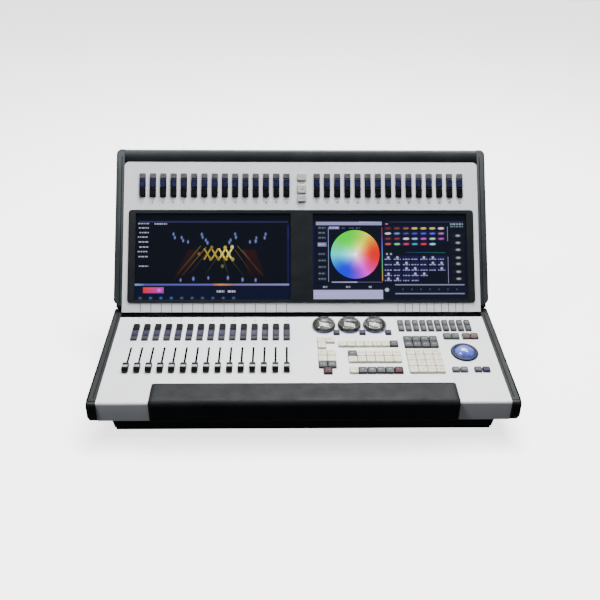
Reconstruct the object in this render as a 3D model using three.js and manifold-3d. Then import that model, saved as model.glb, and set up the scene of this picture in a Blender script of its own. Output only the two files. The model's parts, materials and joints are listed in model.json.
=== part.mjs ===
// A two-screen lighting control desk: a sloping control deck with faders, keys, wheels and a trackball,
// and a screen section that tilts on a tube along the hinge line behind the deck.
// Units are millimetres and degrees. +X is the operator's right, +Y runs away from the operator, +Z is up.
import * as THREE from "three";
import { mergeVertices } from "three/addons/utils/BufferGeometryUtils.js";
import Module from "manifold-3d";

const wasm = await Module();
wasm.setup();

// ---------------------------------------------------------------- driving dimensions

const BODY_WIDTH = 794; // between the two cheeks
const CHEEK_THICKNESS = 18.5;
const SHEET = 2; // folded sheet metal
const GAP = 0.4; // clearance between neighbouring pieces

const DECK_SLOPE = 6; // deck above the horizontal
const DECK_LENGTH = 281; // hinge line to front bend, along the deck
const DECK_REAR_GAP = 11; // hinge line to the deck's rear edge
const HINGE_LINE_HEIGHT = 117.4; // above the table
const APRON_BEND = 6; // outside radius of the front bend
const APRON_BOTTOM = 46.5;

const FACE_ANGLE = 54.7; // screen face above the horizontal
const FACE_BOTTOM = 4.5; // along the face from the hinge line
const FACE_TOP = 344;
const SCREEN_DEPTH = 45; // screen section, front to back
const TOP_BAR_TOP = 373;

const HINGE_AXIS_Y = 6; // behind the hinge line
const HINGE_AXIS_DROP = 7; // below the hinge line
const HINGE_TUBE_R = 6;
const KNUCKLE_R = 8.4;
const CHEEK_NOSE_R = 17.5; // rounded rear nose of each lower cheek, about the hinge

const FOOT_HEIGHT = 6;
const TUB_TOP = 48; // height where the narrow tub meets the wide upper tray
const TUB_HALF_WIDTH = 379;
const TUB_FRONT_Y = -258;
const REAR_Y = 186; // outside of the rear panel
const REAR_TOP = 62;
const REAR_BOTTOM = 9;

const COLUMN_PITCH = 23; // fader columns
const COLUMN_COUNT = 15;
const FIRST_COLUMN_X = -356;
const FADER_TRAVEL = 60;
const FADER_REST_S = 183; // cap centre at the low end of its travel
const KEY_RISE = 5; // key tops above the plate
const KEY_GAP = 0.8; // between neighbouring keys in a block
const KEY_PITCH = 18;
const KEY_ROW_PITCH = 18.2;

const WHEELS_X = [46, 101, 156];
const WHEEL_S = 44;
const WHEEL_R = 25.5;
const BALL = { x: 333.5, s: 134, r: 25, centre: -12 }; // centre is above the deck

const DISPLAY_WIDTH = 344.2; // lit area
const DISPLAY_HEIGHT = 194.5;
const DISPLAY_X = 197; // centre of each display
const DISPLAY_BOTTOM = 31; // along the face

const HALF = BODY_WIDTH / 2;
const radians = THREE.MathUtils.degToRad;
const columnX = (i) => FIRST_COLUMN_X + COLUMN_PITCH * i;
const range = (count) => [...Array(count).keys()];

// ---------------------------------------------------------------- colours

const paint = (color, roughness, metalness = 0) =>
  new THREE.MeshStandardMaterial({ color, roughness, metalness });
const WHITE_PAINT = paint(0xdcdde0, 0.45);
const DARK_PAINT = paint(0x45484a, 0.42);
const BLACK_PAINT = paint(0x151617, 0.5);
const SOFT_GREY = paint(0x3b3e41, 0.6);
const BLACK_KEY = paint(0x17181a, 0.5);
const BLUE_KEY = paint(0x1f2a5c, 0.4);
const GREY_KEY = paint(0x7c807c, 0.5);
const BEIGE_KEY = paint(0xd9d7c6, 0.5);
const CLEAR_WHEEL = paint(0xb9bcc0, 0.1);
const BALL_BLUE = paint(0x8fa6e6, 0.15);
const RING_BLUE = paint(0x1b2547, 0.3);
const GLASS_BLACK = paint(0x05060b, 0.1);
const BOARD_GREEN = paint(0x1f5a36, 0.6);
const STEEL = paint(0x9a9da0, 0.35, 0.8);
const RUBBER = paint(0x101010, 0.9);
const BLACK_PLASTIC = paint(0x1a1a1b, 0.55);

// ---------------------------------------------------------------- geometry helpers

// A closed three.js geometry as a solid for joining and cutting.
function solid(geometry) {
  const bare = geometry.index ? geometry.toNonIndexed() : geometry.clone();
  bare.deleteAttribute("normal");
  bare.deleteAttribute("uv");
  const merged = mergeVertices(bare, 1e-3);
  return new wasm.Manifold(
    new wasm.Mesh({
      numProp: 3,
      vertProperties: merged.attributes.position.array,
      triVerts: new Uint32Array(merged.index.array),
    }),
  );
}

function geometryOf(made) {
  const mesh = made.getMesh();
  const xyz = new Float32Array(mesh.numVert * 3);
  for (let i = 0; i < mesh.numVert; i++)
    xyz.set(mesh.vertProperties.subarray(i * mesh.numProp, i * mesh.numProp + 3), i * 3);
  return new THREE.BufferGeometry()
    .setAttribute("position", new THREE.BufferAttribute(xyz, 3))
    .setIndex(new THREE.BufferAttribute(mesh.triVerts, 1));
}

const joined = (first, ...rest) => rest.reduce((sum, next) => sum.add(next), first);
const cut = (body, ...tools) => tools.reduce((left, tool) => left.subtract(tool), body);

function box(x0, x1, y0, y1, z0, z1) {
  const g = new THREE.BoxGeometry(x1 - x0, y1 - y0, z1 - z0);
  return solid(g.translate((x0 + x1) / 2, (y0 + y1) / 2, (z0 + z1) / 2));
}

function outline(points) {
  return new THREE.Shape(points.map(([a, b]) => new THREE.Vector2(a, b)));
}

// A flat shape in X and Y, thick from z0 to z1.
function plate(shape, z0, z1, curveSegments = 6) {
  const g = new THREE.ExtrudeGeometry(shape, { depth: z1 - z0, bevelEnabled: false, curveSegments });
  return solid(g.translate(0, 0, z0));
}

// A side profile given as [y, z] points, carried along X from x0 to x1.
function alongX(points, x0, x1, holes = []) {
  const shape = outline(points);
  shape.holes = holes.map((hole) => outline(hole));
  const g = new THREE.ExtrudeGeometry(shape, { depth: x1 - x0, bevelEnabled: false });
  const cycleAxes = new THREE.Matrix4().set(0, 0, 1, x0, 1, 0, 0, 0, 0, 1, 0, 0, 0, 0, 0, 1);
  return solid(g.applyMatrix4(cycleAxes));
}

// A [radius, z] profile turned about a vertical axis through x, y.
function turned(profile, x, y, segments = 28) {
  const points = profile.map(([r, z]) => new THREE.Vector2(r, z));
  const g = new THREE.LatheGeometry(points, segments);
  return solid(g.rotateX(Math.PI / 2).translate(x, y, 0));
}

function roundedRectangle(x0, y0, x1, y1, r) {
  const s = new THREE.Shape();
  s.moveTo(x0 + r, y0);
  s.lineTo(x1 - r, y0);
  s.absarc(x1 - r, y0 + r, r, -Math.PI / 2, 0);
  s.lineTo(x1, y1 - r);
  s.absarc(x1 - r, y1 - r, r, 0, Math.PI / 2);
  s.lineTo(x0 + r, y1);
  s.absarc(x0 + r, y1 - r, r, Math.PI / 2, Math.PI);
  s.lineTo(x0, y0 + r);
  s.absarc(x0 + r, y0 + r, r, Math.PI, Math.PI * 1.5);
  return s;
}

// Points on an arc about [cy, cz] from one angle to another, in degrees.
function arc(cy, cz, r, from, to, steps) {
  return range(steps + 1).map((i) => {
    const angle = radians(from + ((to - from) * i) / steps);
    return [cy + r * Math.cos(angle), cz + r * Math.sin(angle)];
  });
}

// The path moved sideways, to the left of its direction of travel.
function offset(path, distance) {
  const unit = (a, b) => new THREE.Vector2(b[0] - a[0], b[1] - a[1]).normalize();
  return path.map((p, i) => {
    const before = unit(path[Math.max(i - 1, 0)], path[Math.max(i, 1)]);
    const after = unit(path[Math.min(i, path.length - 2)], path[Math.min(i + 1, path.length - 1)]);
    const along = before.clone().add(after).normalize();
    const reach = distance / along.dot(before);
    return [p[0] - along.y * reach, p[1] + along.x * reach];
  });
}

const sheetOutline = (path, thickness) => [...path, ...offset(path, thickness).reverse()];

function circleHole(x, y, r, z0, z1, segments = 24) {
  const g = new THREE.CylinderGeometry(r, r, z1 - z0, segments);
  return solid(g.rotateX(Math.PI / 2).translate(x, y, (z0 + z1) / 2));
}

// ---------------------------------------------------------------- frames

const table = new THREE.Group(); // z = 0 is the table, y = 0 is the hinge line
const deck = new THREE.Group(); // +Y up the deck, +Z out of it, origin on the hinge line
const face = new THREE.Group(); // +Y up the screen face, +Z out of it, origin on the hinge line
deck.position.z = HINGE_LINE_HEIGHT;
deck.rotation.x = radians(DECK_SLOPE);
face.position.z = HINGE_LINE_HEIGHT;
face.rotation.x = radians(FACE_ANGLE);
table.add(deck, face);

function add(group, name, made, material) {
  const mesh = new THREE.Mesh(geometryOf(made), material);
  mesh.name = name;
  group.add(mesh);
}

// A point s in front of the hinge line and h above the deck, as table [y, z].
function onDeck(s, h = 0) {
  const a = radians(DECK_SLOPE);
  return [
    -s * Math.cos(a) - h * Math.sin(a),
    HINGE_LINE_HEIGHT - s * Math.sin(a) + h * Math.cos(a),
  ];
}

const HINGE_Z = HINGE_LINE_HEIGHT - HINGE_AXIS_DROP;
const FRONT_Y = onDeck(DECK_LENGTH)[0];

// The deck's outside surface from its rear edge, round the front bend, down the apron, raised by h.
function deckSkin(fromS, h = 0) {
  const radius = APRON_BEND + h;
  const cy = FRONT_Y + APRON_BEND;
  const s = -cy / Math.cos(radians(DECK_SLOPE));
  const cz = onDeck(s)[1] - APRON_BEND / Math.cos(radians(DECK_SLOPE));
  return [
    onDeck(fromS, h),
    ...arc(cy, cz, radius, 90 + DECK_SLOPE, 180, 5),
    [FRONT_Y - h, APRON_BOTTOM],
  ];
}

// A box on the deck: x0 to x1, s0 to s1 in front of the hinge line, h0 to h1 above the deck.
const deckBox = (x0, x1, s0, s1, h0, h1) => box(x0, x1, -s1, -s0, h0, h1);

// ---------------------------------------------------------------- keys

const columns = range(COLUMN_COUNT).map(columnX);
const rightColumns = columns.map((x) => -x).reverse();
const keyRow = (xs, s, width, depth) => xs.map((x) => ({ x, s, width, depth }));

// A block of equal keys by columns and rows, from its first key's centre.
function keyBlock(x, s, across, down, pitch = KEY_PITCH) {
  return range(across * down).map((i) => ({
    x: x + (i % across) * pitch,
    s: s + Math.floor(i / across) * KEY_ROW_PITCH,
    width: pitch - KEY_GAP,
    depth: KEY_ROW_PITCH - KEY_GAP,
  }));
}

const PLAYBACK_KEYS = [
  ...keyRow(columns, 49.5, 13.4, 20.4),
  ...keyRow(columns, 70.5, 13.4, 20),
  ...keyRow(columns, 86.7, 13.4, 10.8),
];
// Rows up the screen face carry a negative s.
const presetKeys = (xs) => [
  ...keyRow(xs, -273.2, 13.4, 19.8),
  ...keyRow(xs, -293.8, 13.4, 19.8),
  ...keyRow(xs, -310.5, 13.4, 12),
];
const PAGE_KEYS = [
  ...keyRow([0], -308.4, 18.6, 16),
  ...keyRow([0], -281, 18.6, 19),
  ...keyRow([0], -259.6, 18.6, 15),
];
const MACRO_X = range(10).map((i) => 212.8 + 16.08 * i);
const MODE_KEYS = keyRow([307, 324.2, 347.3, 364.5], 82, 16.4, 16.8);
const MACRO_ROWS = [...keyRow(MACRO_X, 36, 12.4, 17.4), ...keyRow(MACRO_X, 54.2, 12.4, 17.4)];
const MACRO_KEYS = [...MACRO_ROWS, ...MODE_KEYS];
const WHEEL_KEYS = keyRow([72.5, 127.8, 183], 68.5, 13, 13);
const POINTER_KEYS = keyRow([305.6, 322, 350.4, 366.8], 189, 14.6, 13.4);
const NUMBER_KEYS = [...keyBlock(220.8, 92, 4, 2), ...keyBlock(220.8, 135.2, 4, 4)];
const COMMAND_KEYS = [
  ...keyBlock(82.5, 107, 7, 1),
  ...keyBlock(100.8, 139, 6, 2, 18.2),
  ...keyBlock(100.5, 190.5, 6, 1),
];
const RECORD_KEYS = [
  ...keyBlock(39.2, 94.4, 2, 1, 18.4),
  ...keyBlock(39.2, 112.6, 1, 1, 18.4),
  ...keyBlock(39.2, 137, 2, 3, 18.4),
  ...keyBlock(48.4, 191.6, 1, 1, 18.4),
];

const WEB_TOP = -SHEET - GAP;
const WEB_THICKNESS = 1.5;

// Keys moulded on one web that lies just under the plate and stops them from coming out.
function keyMat(keys, ...webs) {
  const sheets = webs.map(([x0, x1, s0, s1]) => deckBox(x0, x1, s0, s1, WEB_TOP - WEB_THICKNESS, WEB_TOP));
  const caps = keys.map(({ x, s, width, depth }) =>
    deckBox(x - width / 2, x + width / 2, s - depth / 2, s + depth / 2, WEB_TOP - 1, KEY_RISE),
  );
  return joined(...sheets, ...caps);
}

// One hole per key, so close neighbours share an opening.
function keyHoles(keys, margin = 0.45) {
  return keys.map(({ x, s, width, depth }) => {
    const w = width / 2 + margin;
    const d = depth / 2 + margin;
    return deckBox(x - w, x + w, s - d, s + d, -SHEET - 1, 1);
  });
}

// ---------------------------------------------------------------- base

// The lower tub: its front and sides lean in towards the table.
function tubBody(inset, z0, z1, rear) {
  const front = TUB_FRONT_Y + inset;
  const half = TUB_HALF_WIDTH - inset;
  const side = alongX([[front + 8, z0], [rear, z0], [rear, z1], [front, z1]], -half, half);
  const across = outline([[-half + 5, z0], [half - 5, z0], [half, z1], [-half, z1]]);
  const g = new THREE.ExtrudeGeometry(across, { depth: rear - front + 40, bevelEnabled: false });
  return side.intersect(solid(g.rotateX(Math.PI / 2).translate(0, rear + 20, 0)));
}

function baseTray() {
  const half = HALF - GAP;
  const rear = REAR_Y - SHEET - GAP;
  const front = FRONT_Y + SHEET + GAP;
  const wall = [
    [front, TUB_TOP - SHEET],
    [rear, TUB_TOP - SHEET],
    [rear, REAR_TOP - 6],
    [44, 65.5],
    [10, 65.5],
    [-7, 92],
    onDeck(7.5, -SHEET - GAP),
    onDeck(272, -SHEET - GAP),
    [front, 79],
  ];
  const outside = tubBody(0, FOOT_HEIGHT, TUB_TOP, rear).add(alongX(wall, -half, half));
  return cut(
    outside,
    tubBody(SHEET, FOOT_HEIGHT + SHEET, TUB_TOP + 1, rear + 5),
    box(-half + SHEET, half - SHEET, front + SHEET, rear + 5, TUB_TOP, 200),
  );
}

function deckPanel() {
  const half = HALF - GAP;
  const skin = deckSkin(DECK_REAR_GAP);
  const made = alongX(sheetOutline(skin, SHEET), -half, half);
  const keys = [
    PLAYBACK_KEYS, MACRO_KEYS, WHEEL_KEYS, POINTER_KEYS, NUMBER_KEYS, COMMAND_KEYS, RECORD_KEYS,
  ].flatMap((group) => keyHoles(group));
  const slots = columns.map((x) => deckBox(x - 1.5, x + 1.5, 115, 190, -4, 2));
  const shafts = WHEELS_X.map((x) => circleHole(x, -WHEEL_S, 4, -4, 2, 16));
  const ball = circleHole(BALL.x, -BALL.s, 25.8, -4, 2, 36);
  const tools = joined(...keys, ...slots, ...shafts, ball);
  return cut(made, onTable(tools));
}

// Moves a solid made in deck coordinates to table coordinates.
function onTable(made) {
  const g = geometryOf(made);
  g.rotateX(radians(DECK_SLOPE)).translate(0, 0, HINGE_LINE_HEIGHT);
  return solid(g);
}

// A side cheek, its outside edges rounded and its inside face flat against the body.
function baseCheek(side) {
  const profile = [
    [FRONT_Y + 5, 43.5],
    [REAR_Y, 43.5],
    [REAR_Y, REAR_TOP],
    [44, 71],
    [21, 84],
    ...arc(HINGE_AXIS_Y, HINGE_Z, CHEEK_NOSE_R, -70, 33, 9),
    onDeck(DECK_LENGTH - 6, 1),
    ...arc(FRONT_Y + 6, onDeck(DECK_LENGTH)[1] - 8, 9, 84, 180, 5),
    [FRONT_Y - 3, 55.5],
  ];
  return edgedAlongX(profile, side, 4);
}

const sideSpan = (side, inner, outer) => (side > 0 ? [inner, outer] : [-outer, -inner]);

// A geometry made for the right-hand side, or its mirror image for the left.
function onSide(geometry, side) {
  if (side > 0) return solid(geometry);
  const flipped = geometry.index ? geometry.toNonIndexed() : geometry.clone();
  flipped.scale(-1, 1, 1);
  const p = flipped.attributes.position;
  for (let i = 0; i < p.count; i += 3) {
    const [x, y, z] = [p.getX(i), p.getY(i), p.getZ(i)];
    p.setXYZ(i, p.getX(i + 2), p.getY(i + 2), p.getZ(i + 2));
    p.setXYZ(i + 2, x, y, z);
  }
  return solid(flipped);
}

// A cheek-thick side profile whose outer edge is rounded.
function edgedAlongX(profile, side, round) {
  const g = new THREE.ExtrudeGeometry(outline(profile), {
    depth: CHEEK_THICKNESS,
    bevelThickness: round,
    bevelSize: round,
    bevelOffset: -round,
    bevelSegments: 3,
  });
  const outer = HALF + CHEEK_THICKNESS;
  const cycleAxes = new THREE.Matrix4().set(0, 0, 1, 0, 1, 0, 0, 0, 0, 1, 0, 0, 0, 0, 0, 1);
  g.applyMatrix4(cycleAxes).translate(outer - CHEEK_THICKNESS - round, 0, 0);
  return onSide(g, side).intersect(box(...sideSpan(side, HALF, outer + 1), -400, 400, 0, 400));
}

function armrest() {
  const path = deckSkin(228, GAP);
  const pad = [...path, ...offset(path, -6.5).reverse()];
  return alongX(pad, -297.5, 297.5);
}

function rearPanel() {
  const path = [[14, 66], [14, 80], [44, 70], [REAR_Y - 6, REAR_TOP], [REAR_Y, REAR_TOP - 5]];
  const sheet = alongX(sheetOutline([...path, [REAR_Y, REAR_BOTTOM]], -SHEET), -HALF + GAP, HALF - GAP);
  const low = TUB_TOP - SHEET;
  const sides = [-1, 1].map((side) => box(...sideSpan(side, TUB_HALF_WIDTH - 6, HALF + 5), 100, 300, 0, low));
  const dmx = DMX_X.map((x) => rearRound(x, DMX_Z, 12, REAR_Y - 10, REAR_Y + 5));
  const data = DATA_SOCKETS.map(([x, w, h]) => rearBox(x, DATA_Z, w + 0.8, h + 0.8, REAR_Y - 10, REAR_Y + 5));
  const mains = rearBox(INLET_X, INLET_Z, 28.8, 20.8, REAR_Y - 10, REAR_Y + 5);
  const rocker = rearBox(SWITCH_X, INLET_Z, 14.8, 21.8, REAR_Y - 10, REAR_Y + 5);
  return cut(sheet, ...sides, ...dmx, ...data, mains, rocker);
}

const DMX_X = [100, 135, 170, 205];
const DMX_Z = 34;
const DATA_Z = 34;
const DATA_SOCKETS = [[-24, 16, 14], [0, 16, 14]]; // centre, width and height
const INLET_X = -280;
const SWITCH_X = -248;
const INLET_Z = 34;

function rearRound(x, z, r, y0, y1, segments = 20) {
  const g = new THREE.CylinderGeometry(r, r, y1 - y0, segments);
  return solid(g.translate(x, (y0 + y1) / 2, z));
}

const rearBox = (x, z, w, h, y0, y1) => box(x - w / 2, x + w / 2, y0, y1, z - h / 2, z + h / 2);

// Round five-pole sockets on one backing strip behind the rear panel.
function dmxSockets() {
  const back = REAR_Y - SHEET - GAP;
  const last = DMX_X[DMX_X.length - 1];
  const strip = box(DMX_X[0] - 14, last + 14, back - 2, back, DMX_Z - 14, DMX_Z + 14);
  const barrels = DMX_X.map((x) => rearRound(x, DMX_Z, 11.6, REAR_Y - 22, REAR_Y + 1));
  return joined(strip, ...barrels);
}

function dataSockets() {
  const back = REAR_Y - SHEET - GAP;
  const strip = box(-38, 14, back - 2, back, DATA_Z - 12, DATA_Z + 12);
  const shells = DATA_SOCKETS.map(([x, w, h]) => rearBox(x, DATA_Z, w, h, REAR_Y - 18, REAR_Y + 0.6));
  const wells = DATA_SOCKETS.map(([x, w, h]) =>
    rearBox(x, DATA_Z, w - 2, h - 2, REAR_Y - 15, REAR_Y + 5),
  );
  return cut(joined(strip, ...shells), ...wells);
}

function powerInlet() {
  const back = REAR_Y - SHEET - GAP;
  const flange = rearBox(INLET_X + 12, INLET_Z, 84, 28, back - 2, back);
  const shell = rearBox(INLET_X, INLET_Z, 28, 20, REAR_Y - 24, REAR_Y + 1);
  const well = rearBox(INLET_X, INLET_Z, 24.4, 16.4, REAR_Y - 20, REAR_Y + 5);
  const blades = [-7, 0, 7].map((x) => rearBox(INLET_X + x, INLET_Z, 2, 5, REAR_Y - 22, REAR_Y - 6));
  const switchShell = rearBox(SWITCH_X, INLET_Z, 14, 21, REAR_Y - 20, REAR_Y + 0.8);
  const switchWell = rearBox(SWITCH_X, INLET_Z, 11.4, 18.4, REAR_Y - 14, REAR_Y + 5);
  return cut(joined(flange, shell, switchShell), well, switchWell).add(joined(...blades));
}

// A rocker: two flats meeting at a shallow angle over its pivot.
function powerRocker() {
  const y = REAR_Y - 4;
  const profile = [
    [y - 3, INLET_Z - 3], [y + 3.4, INLET_Z - 7.6], [y + 3.8, INLET_Z],
    [y + 5.4, INLET_Z + 7.6], [y - 3, INLET_Z + 3],
  ];
  return alongX(profile, SWITCH_X - 5.2, SWITCH_X + 5.2);
}

const footStrip = (y0) => box(-372, 372, y0, y0 + 16, 0, FOOT_HEIGHT - GAP);

function powerSupply() {
  const y = 40;
  const can = box(-330, -210, y, y + 110, 10, 50);
  const lugs = box(-336, -204, y + 10, y + 30, 10, 12);
  return can.add(lugs);
}

function mainBoard() {
  const board = box(-150, 300, -200, 140, 14, 15.6);
  const chips = range(6).map((i) => box(-120 + 65 * i, -90 + 65 * i, -120, -90, 15, 20));
  const sink = box(40, 110, 20, 90, 15, 34);
  return joined(board, sink, ...chips);
}

// ---------------------------------------------------------------- hinge

function hingeBar() {
  const tube = alongX(arc(HINGE_AXIS_Y, HINGE_Z, HINGE_TUBE_R, 0, 345, 23), -HALF + 1, HALF - 1);
  const rail = box(-HALF + 3, HALF - 3, -5, 12.6, 72, 75);
  const posts = [-380, -230, -60, 60, 230, 380].map((x) => box(x - 6, x + 6, 2, 10, 74, HINGE_Z - 4));
  return joined(tube, rail, ...posts);
}

// ---------------------------------------------------------------- controls on the deck

// A cap with a dished top on a thin blade that reaches into the slot.
function fader(x) {
  const s = FADER_REST_S;
  const profile = [
    [-12, 1], [12, 1], [11, 10.5], [8.6, 11.5], [2.4, 9.4], [-2.4, 9.4], [-8.6, 11.5], [-11, 10.5],
  ].map(([along, h]) => [-s + along, h]);
  const cap = alongX(profile, x - 6, x + 6);
  return cap.add(deckBox(x - 0.6, x + 0.6, s - 4, s + 4, -10, 2));
}

// Fader bodies on one mounting board, each with a slot along its top.
function faderBank() {
  const board = deckBox(-364, -26, 108, 198, -17.6, -16);
  const bodies = columns.map((x) =>
    deckBox(x - 5, x + 5, 110, 196, -16.4, -6.4).subtract(deckBox(x - 1.5, x + 1.5, 114, 191, -12, -6)),
  );
  return joined(board, ...bodies);
}

// A domed jog wheel with a shaft through the deck.
function wheel(x) {
  const r = WHEEL_R;
  const dome = [[0, 16], [11, 15.4], [r - 5.5, 12.4], [r - 2, 8.5], [r, 3], [r - 0.6, 0.8]];
  return turned([[0, -9], [2.6, -9], [2.6, 0.8], ...dome.reverse()], x, -WHEEL_S);
}

function encoderBoard() {
  const board = deckBox(20, 196, 30, 58, -17.6, -16);
  const cans = WHEELS_X.map((x) =>
    turned([[0, -16.4], [8, -16.4], [8, -6.4], [3, -6.4], [3, -12], [0, -12]], x, -WHEEL_S, 16),
  );
  return joined(board, ...cans);
}

function trackball() {
  const g = new THREE.SphereGeometry(BALL.r, 28, 18).rotateX(Math.PI / 2);
  return solid(g.translate(BALL.x, -BALL.s, BALL.centre));
}

function trackballRing() {
  const profile = [
    [24.2, -3.6], [25.2, -3.6], [25.2, 0.4], [28.4, 0.4], [28.2, 2.2], [26.6, 3.6], [23.4, 4.2],
    [20.7, 3.9], [20.5, 3.2], [21.7, 1.4], [22.9, -0.6], [24.2, -3.6],
  ];
  return turned(profile, BALL.x, -BALL.s, 36);
}

// The cup the ball runs in, closed underneath.
function trackballSocket() {
  const floor = BALL.centre - BALL.r;
  const profile = [
    [0, floor - 3], [28.5, floor - 3], [28.5, -4.4], [26, -4.4], [26, floor - 1], [0, floor - 1],
  ];
  return turned(profile, BALL.x, -BALL.s, 28);
}

// ---------------------------------------------------------------- screen section

const faceBox = (x0, x1, u0, u1, n0, n1) => box(x0, x1, u0, u1, n0, n1);

// The hinge axis seen in the face frame: how far up the face, and out of it.
const tilt = radians(FACE_ANGLE);
const AXIS_U = HINGE_AXIS_Y * Math.cos(tilt) - HINGE_AXIS_DROP * Math.sin(tilt);
const AXIS_N = -HINGE_AXIS_Y * Math.sin(tilt) - HINGE_AXIS_DROP * Math.cos(tilt);

// The back shell with its vents and the knuckles that turn on the hinge tube.
function screenTray() {
  const half = HALF - GAP;
  const top = FACE_TOP - GAP;
  const shell = cut(
    faceBox(-half, half, FACE_BOTTOM, top, -SCREEN_DEPTH, -SHEET - GAP),
    faceBox(-half + SHEET, half - SHEET, FACE_BOTTOM + SHEET, top - SHEET, -SCREEN_DEPTH + SHEET, 0),
  );
  const vents = [-1, 1].flatMap((side) =>
    range(8).map((i) => faceBox(...sideSpan(side, 60 + i * 14, 66 + i * 14), 230, 310, -60, -40)),
  );
  const knuckles = [-320, -160, 160, 320].map((x) =>
    alongX(arc(AXIS_U, AXIS_N, KNUCKLE_R, 0, 345, 23), x - 20, x + 20).add(
      faceBox(x - 20, x + 20, AXIS_U, FACE_BOTTOM + 1, AXIS_N - KNUCKLE_R, -SHEET - GAP),
    ),
  );
  const bore = alongX(arc(AXIS_U, AXIS_N, HINGE_TUBE_R + GAP, 0, 345, 23), -half, half);
  return cut(joined(shell, ...knuckles), ...vents, bore);
}

function facePanel() {
  const half = HALF - GAP;
  const shape = outline([
    [-half, FACE_BOTTOM], [half, FACE_BOTTOM],
    ...arc(half - 10.5, FACE_TOP - 10.9, 10.5, 0, 90, 4),
    ...arc(-half + 10.5, FACE_TOP - 10.9, 10.5, 90, 180, 4),
  ]);
  const keys = [presetKeys(columns), presetKeys(rightColumns), PAGE_KEYS].flatMap((k) => keyHoles(k));
  return cut(plate(shape, -SHEET, 0), faceBox(-380, 380, 27, 231, -5, 5), ...keys);
}

// Windows for the lit areas of both displays.
const displaySpan = (side, edge) => sideSpan(
  side, DISPLAY_X - DISPLAY_WIDTH / 2 - edge, DISPLAY_X + DISPLAY_WIDTH / 2 + edge,
);

function screenBezel() {
  const frame = plate(roundedRectangle(-385, 25, 385, 233.5, 6.5), GAP, 2.4, 4);
  const windows = [-1, 1].map((side) =>
    faceBox(...displaySpan(side, 0.2), DISPLAY_BOTTOM, DISPLAY_BOTTOM + DISPLAY_HEIGHT, -1, 5),
  );
  return cut(frame, ...windows);
}

function display(side) {
  const top = DISPLAY_BOTTOM + DISPLAY_HEIGHT + 2.5;
  return faceBox(...displaySpan(side, 5), DISPLAY_BOTTOM - 2.5, top, -12, -0.2);
}

// A rounded rail across the top, with a shallow step under it.
function topBar() {
  const back = -SCREEN_DEPTH - 1;
  const bottom = FACE_TOP + GAP;
  const profile = [
    [bottom, back], [TOP_BAR_TOP - 8, back], ...arc(TOP_BAR_TOP - 8, back + 8, 8, -90, 0, 3).slice(1),
    ...arc(TOP_BAR_TOP - 7, -6, 7, 0, 90, 5), [bottom + 3, 1], [bottom + 2.4, -0.6], [bottom, -0.6],
  ];
  return alongX(profile, -HALF + GAP, HALF - GAP);
}

// A screen cheek: rounded at its outer top corner, and narrowed at its foot to a neck that passes
// behind the lower cheek's nose.
function screenCheek(side) {
  const round = 3;
  const outer = HALF + CHEEK_THICKNESS;
  const neck = HALF + 8.5;
  const bottom = AXIS_U + CHEEK_NOSE_R + 1.8;
  const behindNose = AXIS_N - CHEEK_NOSE_R - 2;
  const shape = outline([
    [HALF - 8, bottom], [neck, bottom], [neck, bottom + 4], [outer - 3, bottom + 8.5],
    [outer, bottom + 14],
    ...arc(outer - 12, TOP_BAR_TOP - 12, 12, 0, 90, 5), [HALF - 8, TOP_BAR_TOP],
  ]);
  const g = new THREE.ExtrudeGeometry(shape, {
    depth: SCREEN_DEPTH + 2 - 2 * round,
    bevelThickness: round,
    bevelSize: round,
    bevelOffset: -round,
    bevelSegments: 3,
  });
  g.translate(0, 0, -SCREEN_DEPTH - 1 + round);
  const body = onSide(g, side).intersect(box(...sideSpan(side, HALF, outer + 1), -10, 500, -100, 100));
  return body.add(box(...sideSpan(side, HALF, neck - 0.5), 5, bottom + 6, 1.5 - SCREEN_DEPTH, behindNose));
}

function presetBoard() {
  const board = faceBox(-372, 372, 248, 322, -10, -8.4);
  return board.add(faceBox(-60, 60, 255, 300, -14, -9));
}

// ---------------------------------------------------------------- assembly

const underKeys = 1.2; // how far a web reaches past its keys
function webOver(keys) {
  const xs = keys.flatMap((k) => [k.x - k.width / 2, k.x + k.width / 2]);
  const ss = keys.flatMap((k) => [k.s - k.depth / 2, k.s + k.depth / 2]);
  return [
    Math.min(...xs) - underKeys, Math.max(...xs) + underKeys,
    Math.min(...ss) - underKeys, Math.max(...ss) + underKeys,
  ];
}

add(table, "base_tray", baseTray(), BLACK_PAINT);
add(table, "deck_panel", deckPanel(), WHITE_PAINT);
add(table, "left_cheek", baseCheek(-1), DARK_PAINT);
add(table, "right_cheek", baseCheek(1), DARK_PAINT);
add(table, "armrest", armrest(), SOFT_GREY);
add(table, "rear_panel", rearPanel(), BLACK_PAINT);
add(table, "dmx_sockets", dmxSockets(), BLACK_PLASTIC);
add(table, "data_sockets", dataSockets(), STEEL);
add(table, "power_inlet", powerInlet(), BLACK_PLASTIC);
add(table, "power_switch", powerRocker(), BLACK_PLASTIC);
add(table, "front_foot_strip", footStrip(TUB_FRONT_Y + 9), RUBBER);
add(table, "rear_foot_strip", footStrip(REAR_Y - 32), RUBBER);
add(table, "power_supply", powerSupply(), STEEL);
add(table, "main_board", mainBoard(), BOARD_GREEN);
add(table, "hinge_bar", hingeBar(), BLACK_PAINT);

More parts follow.
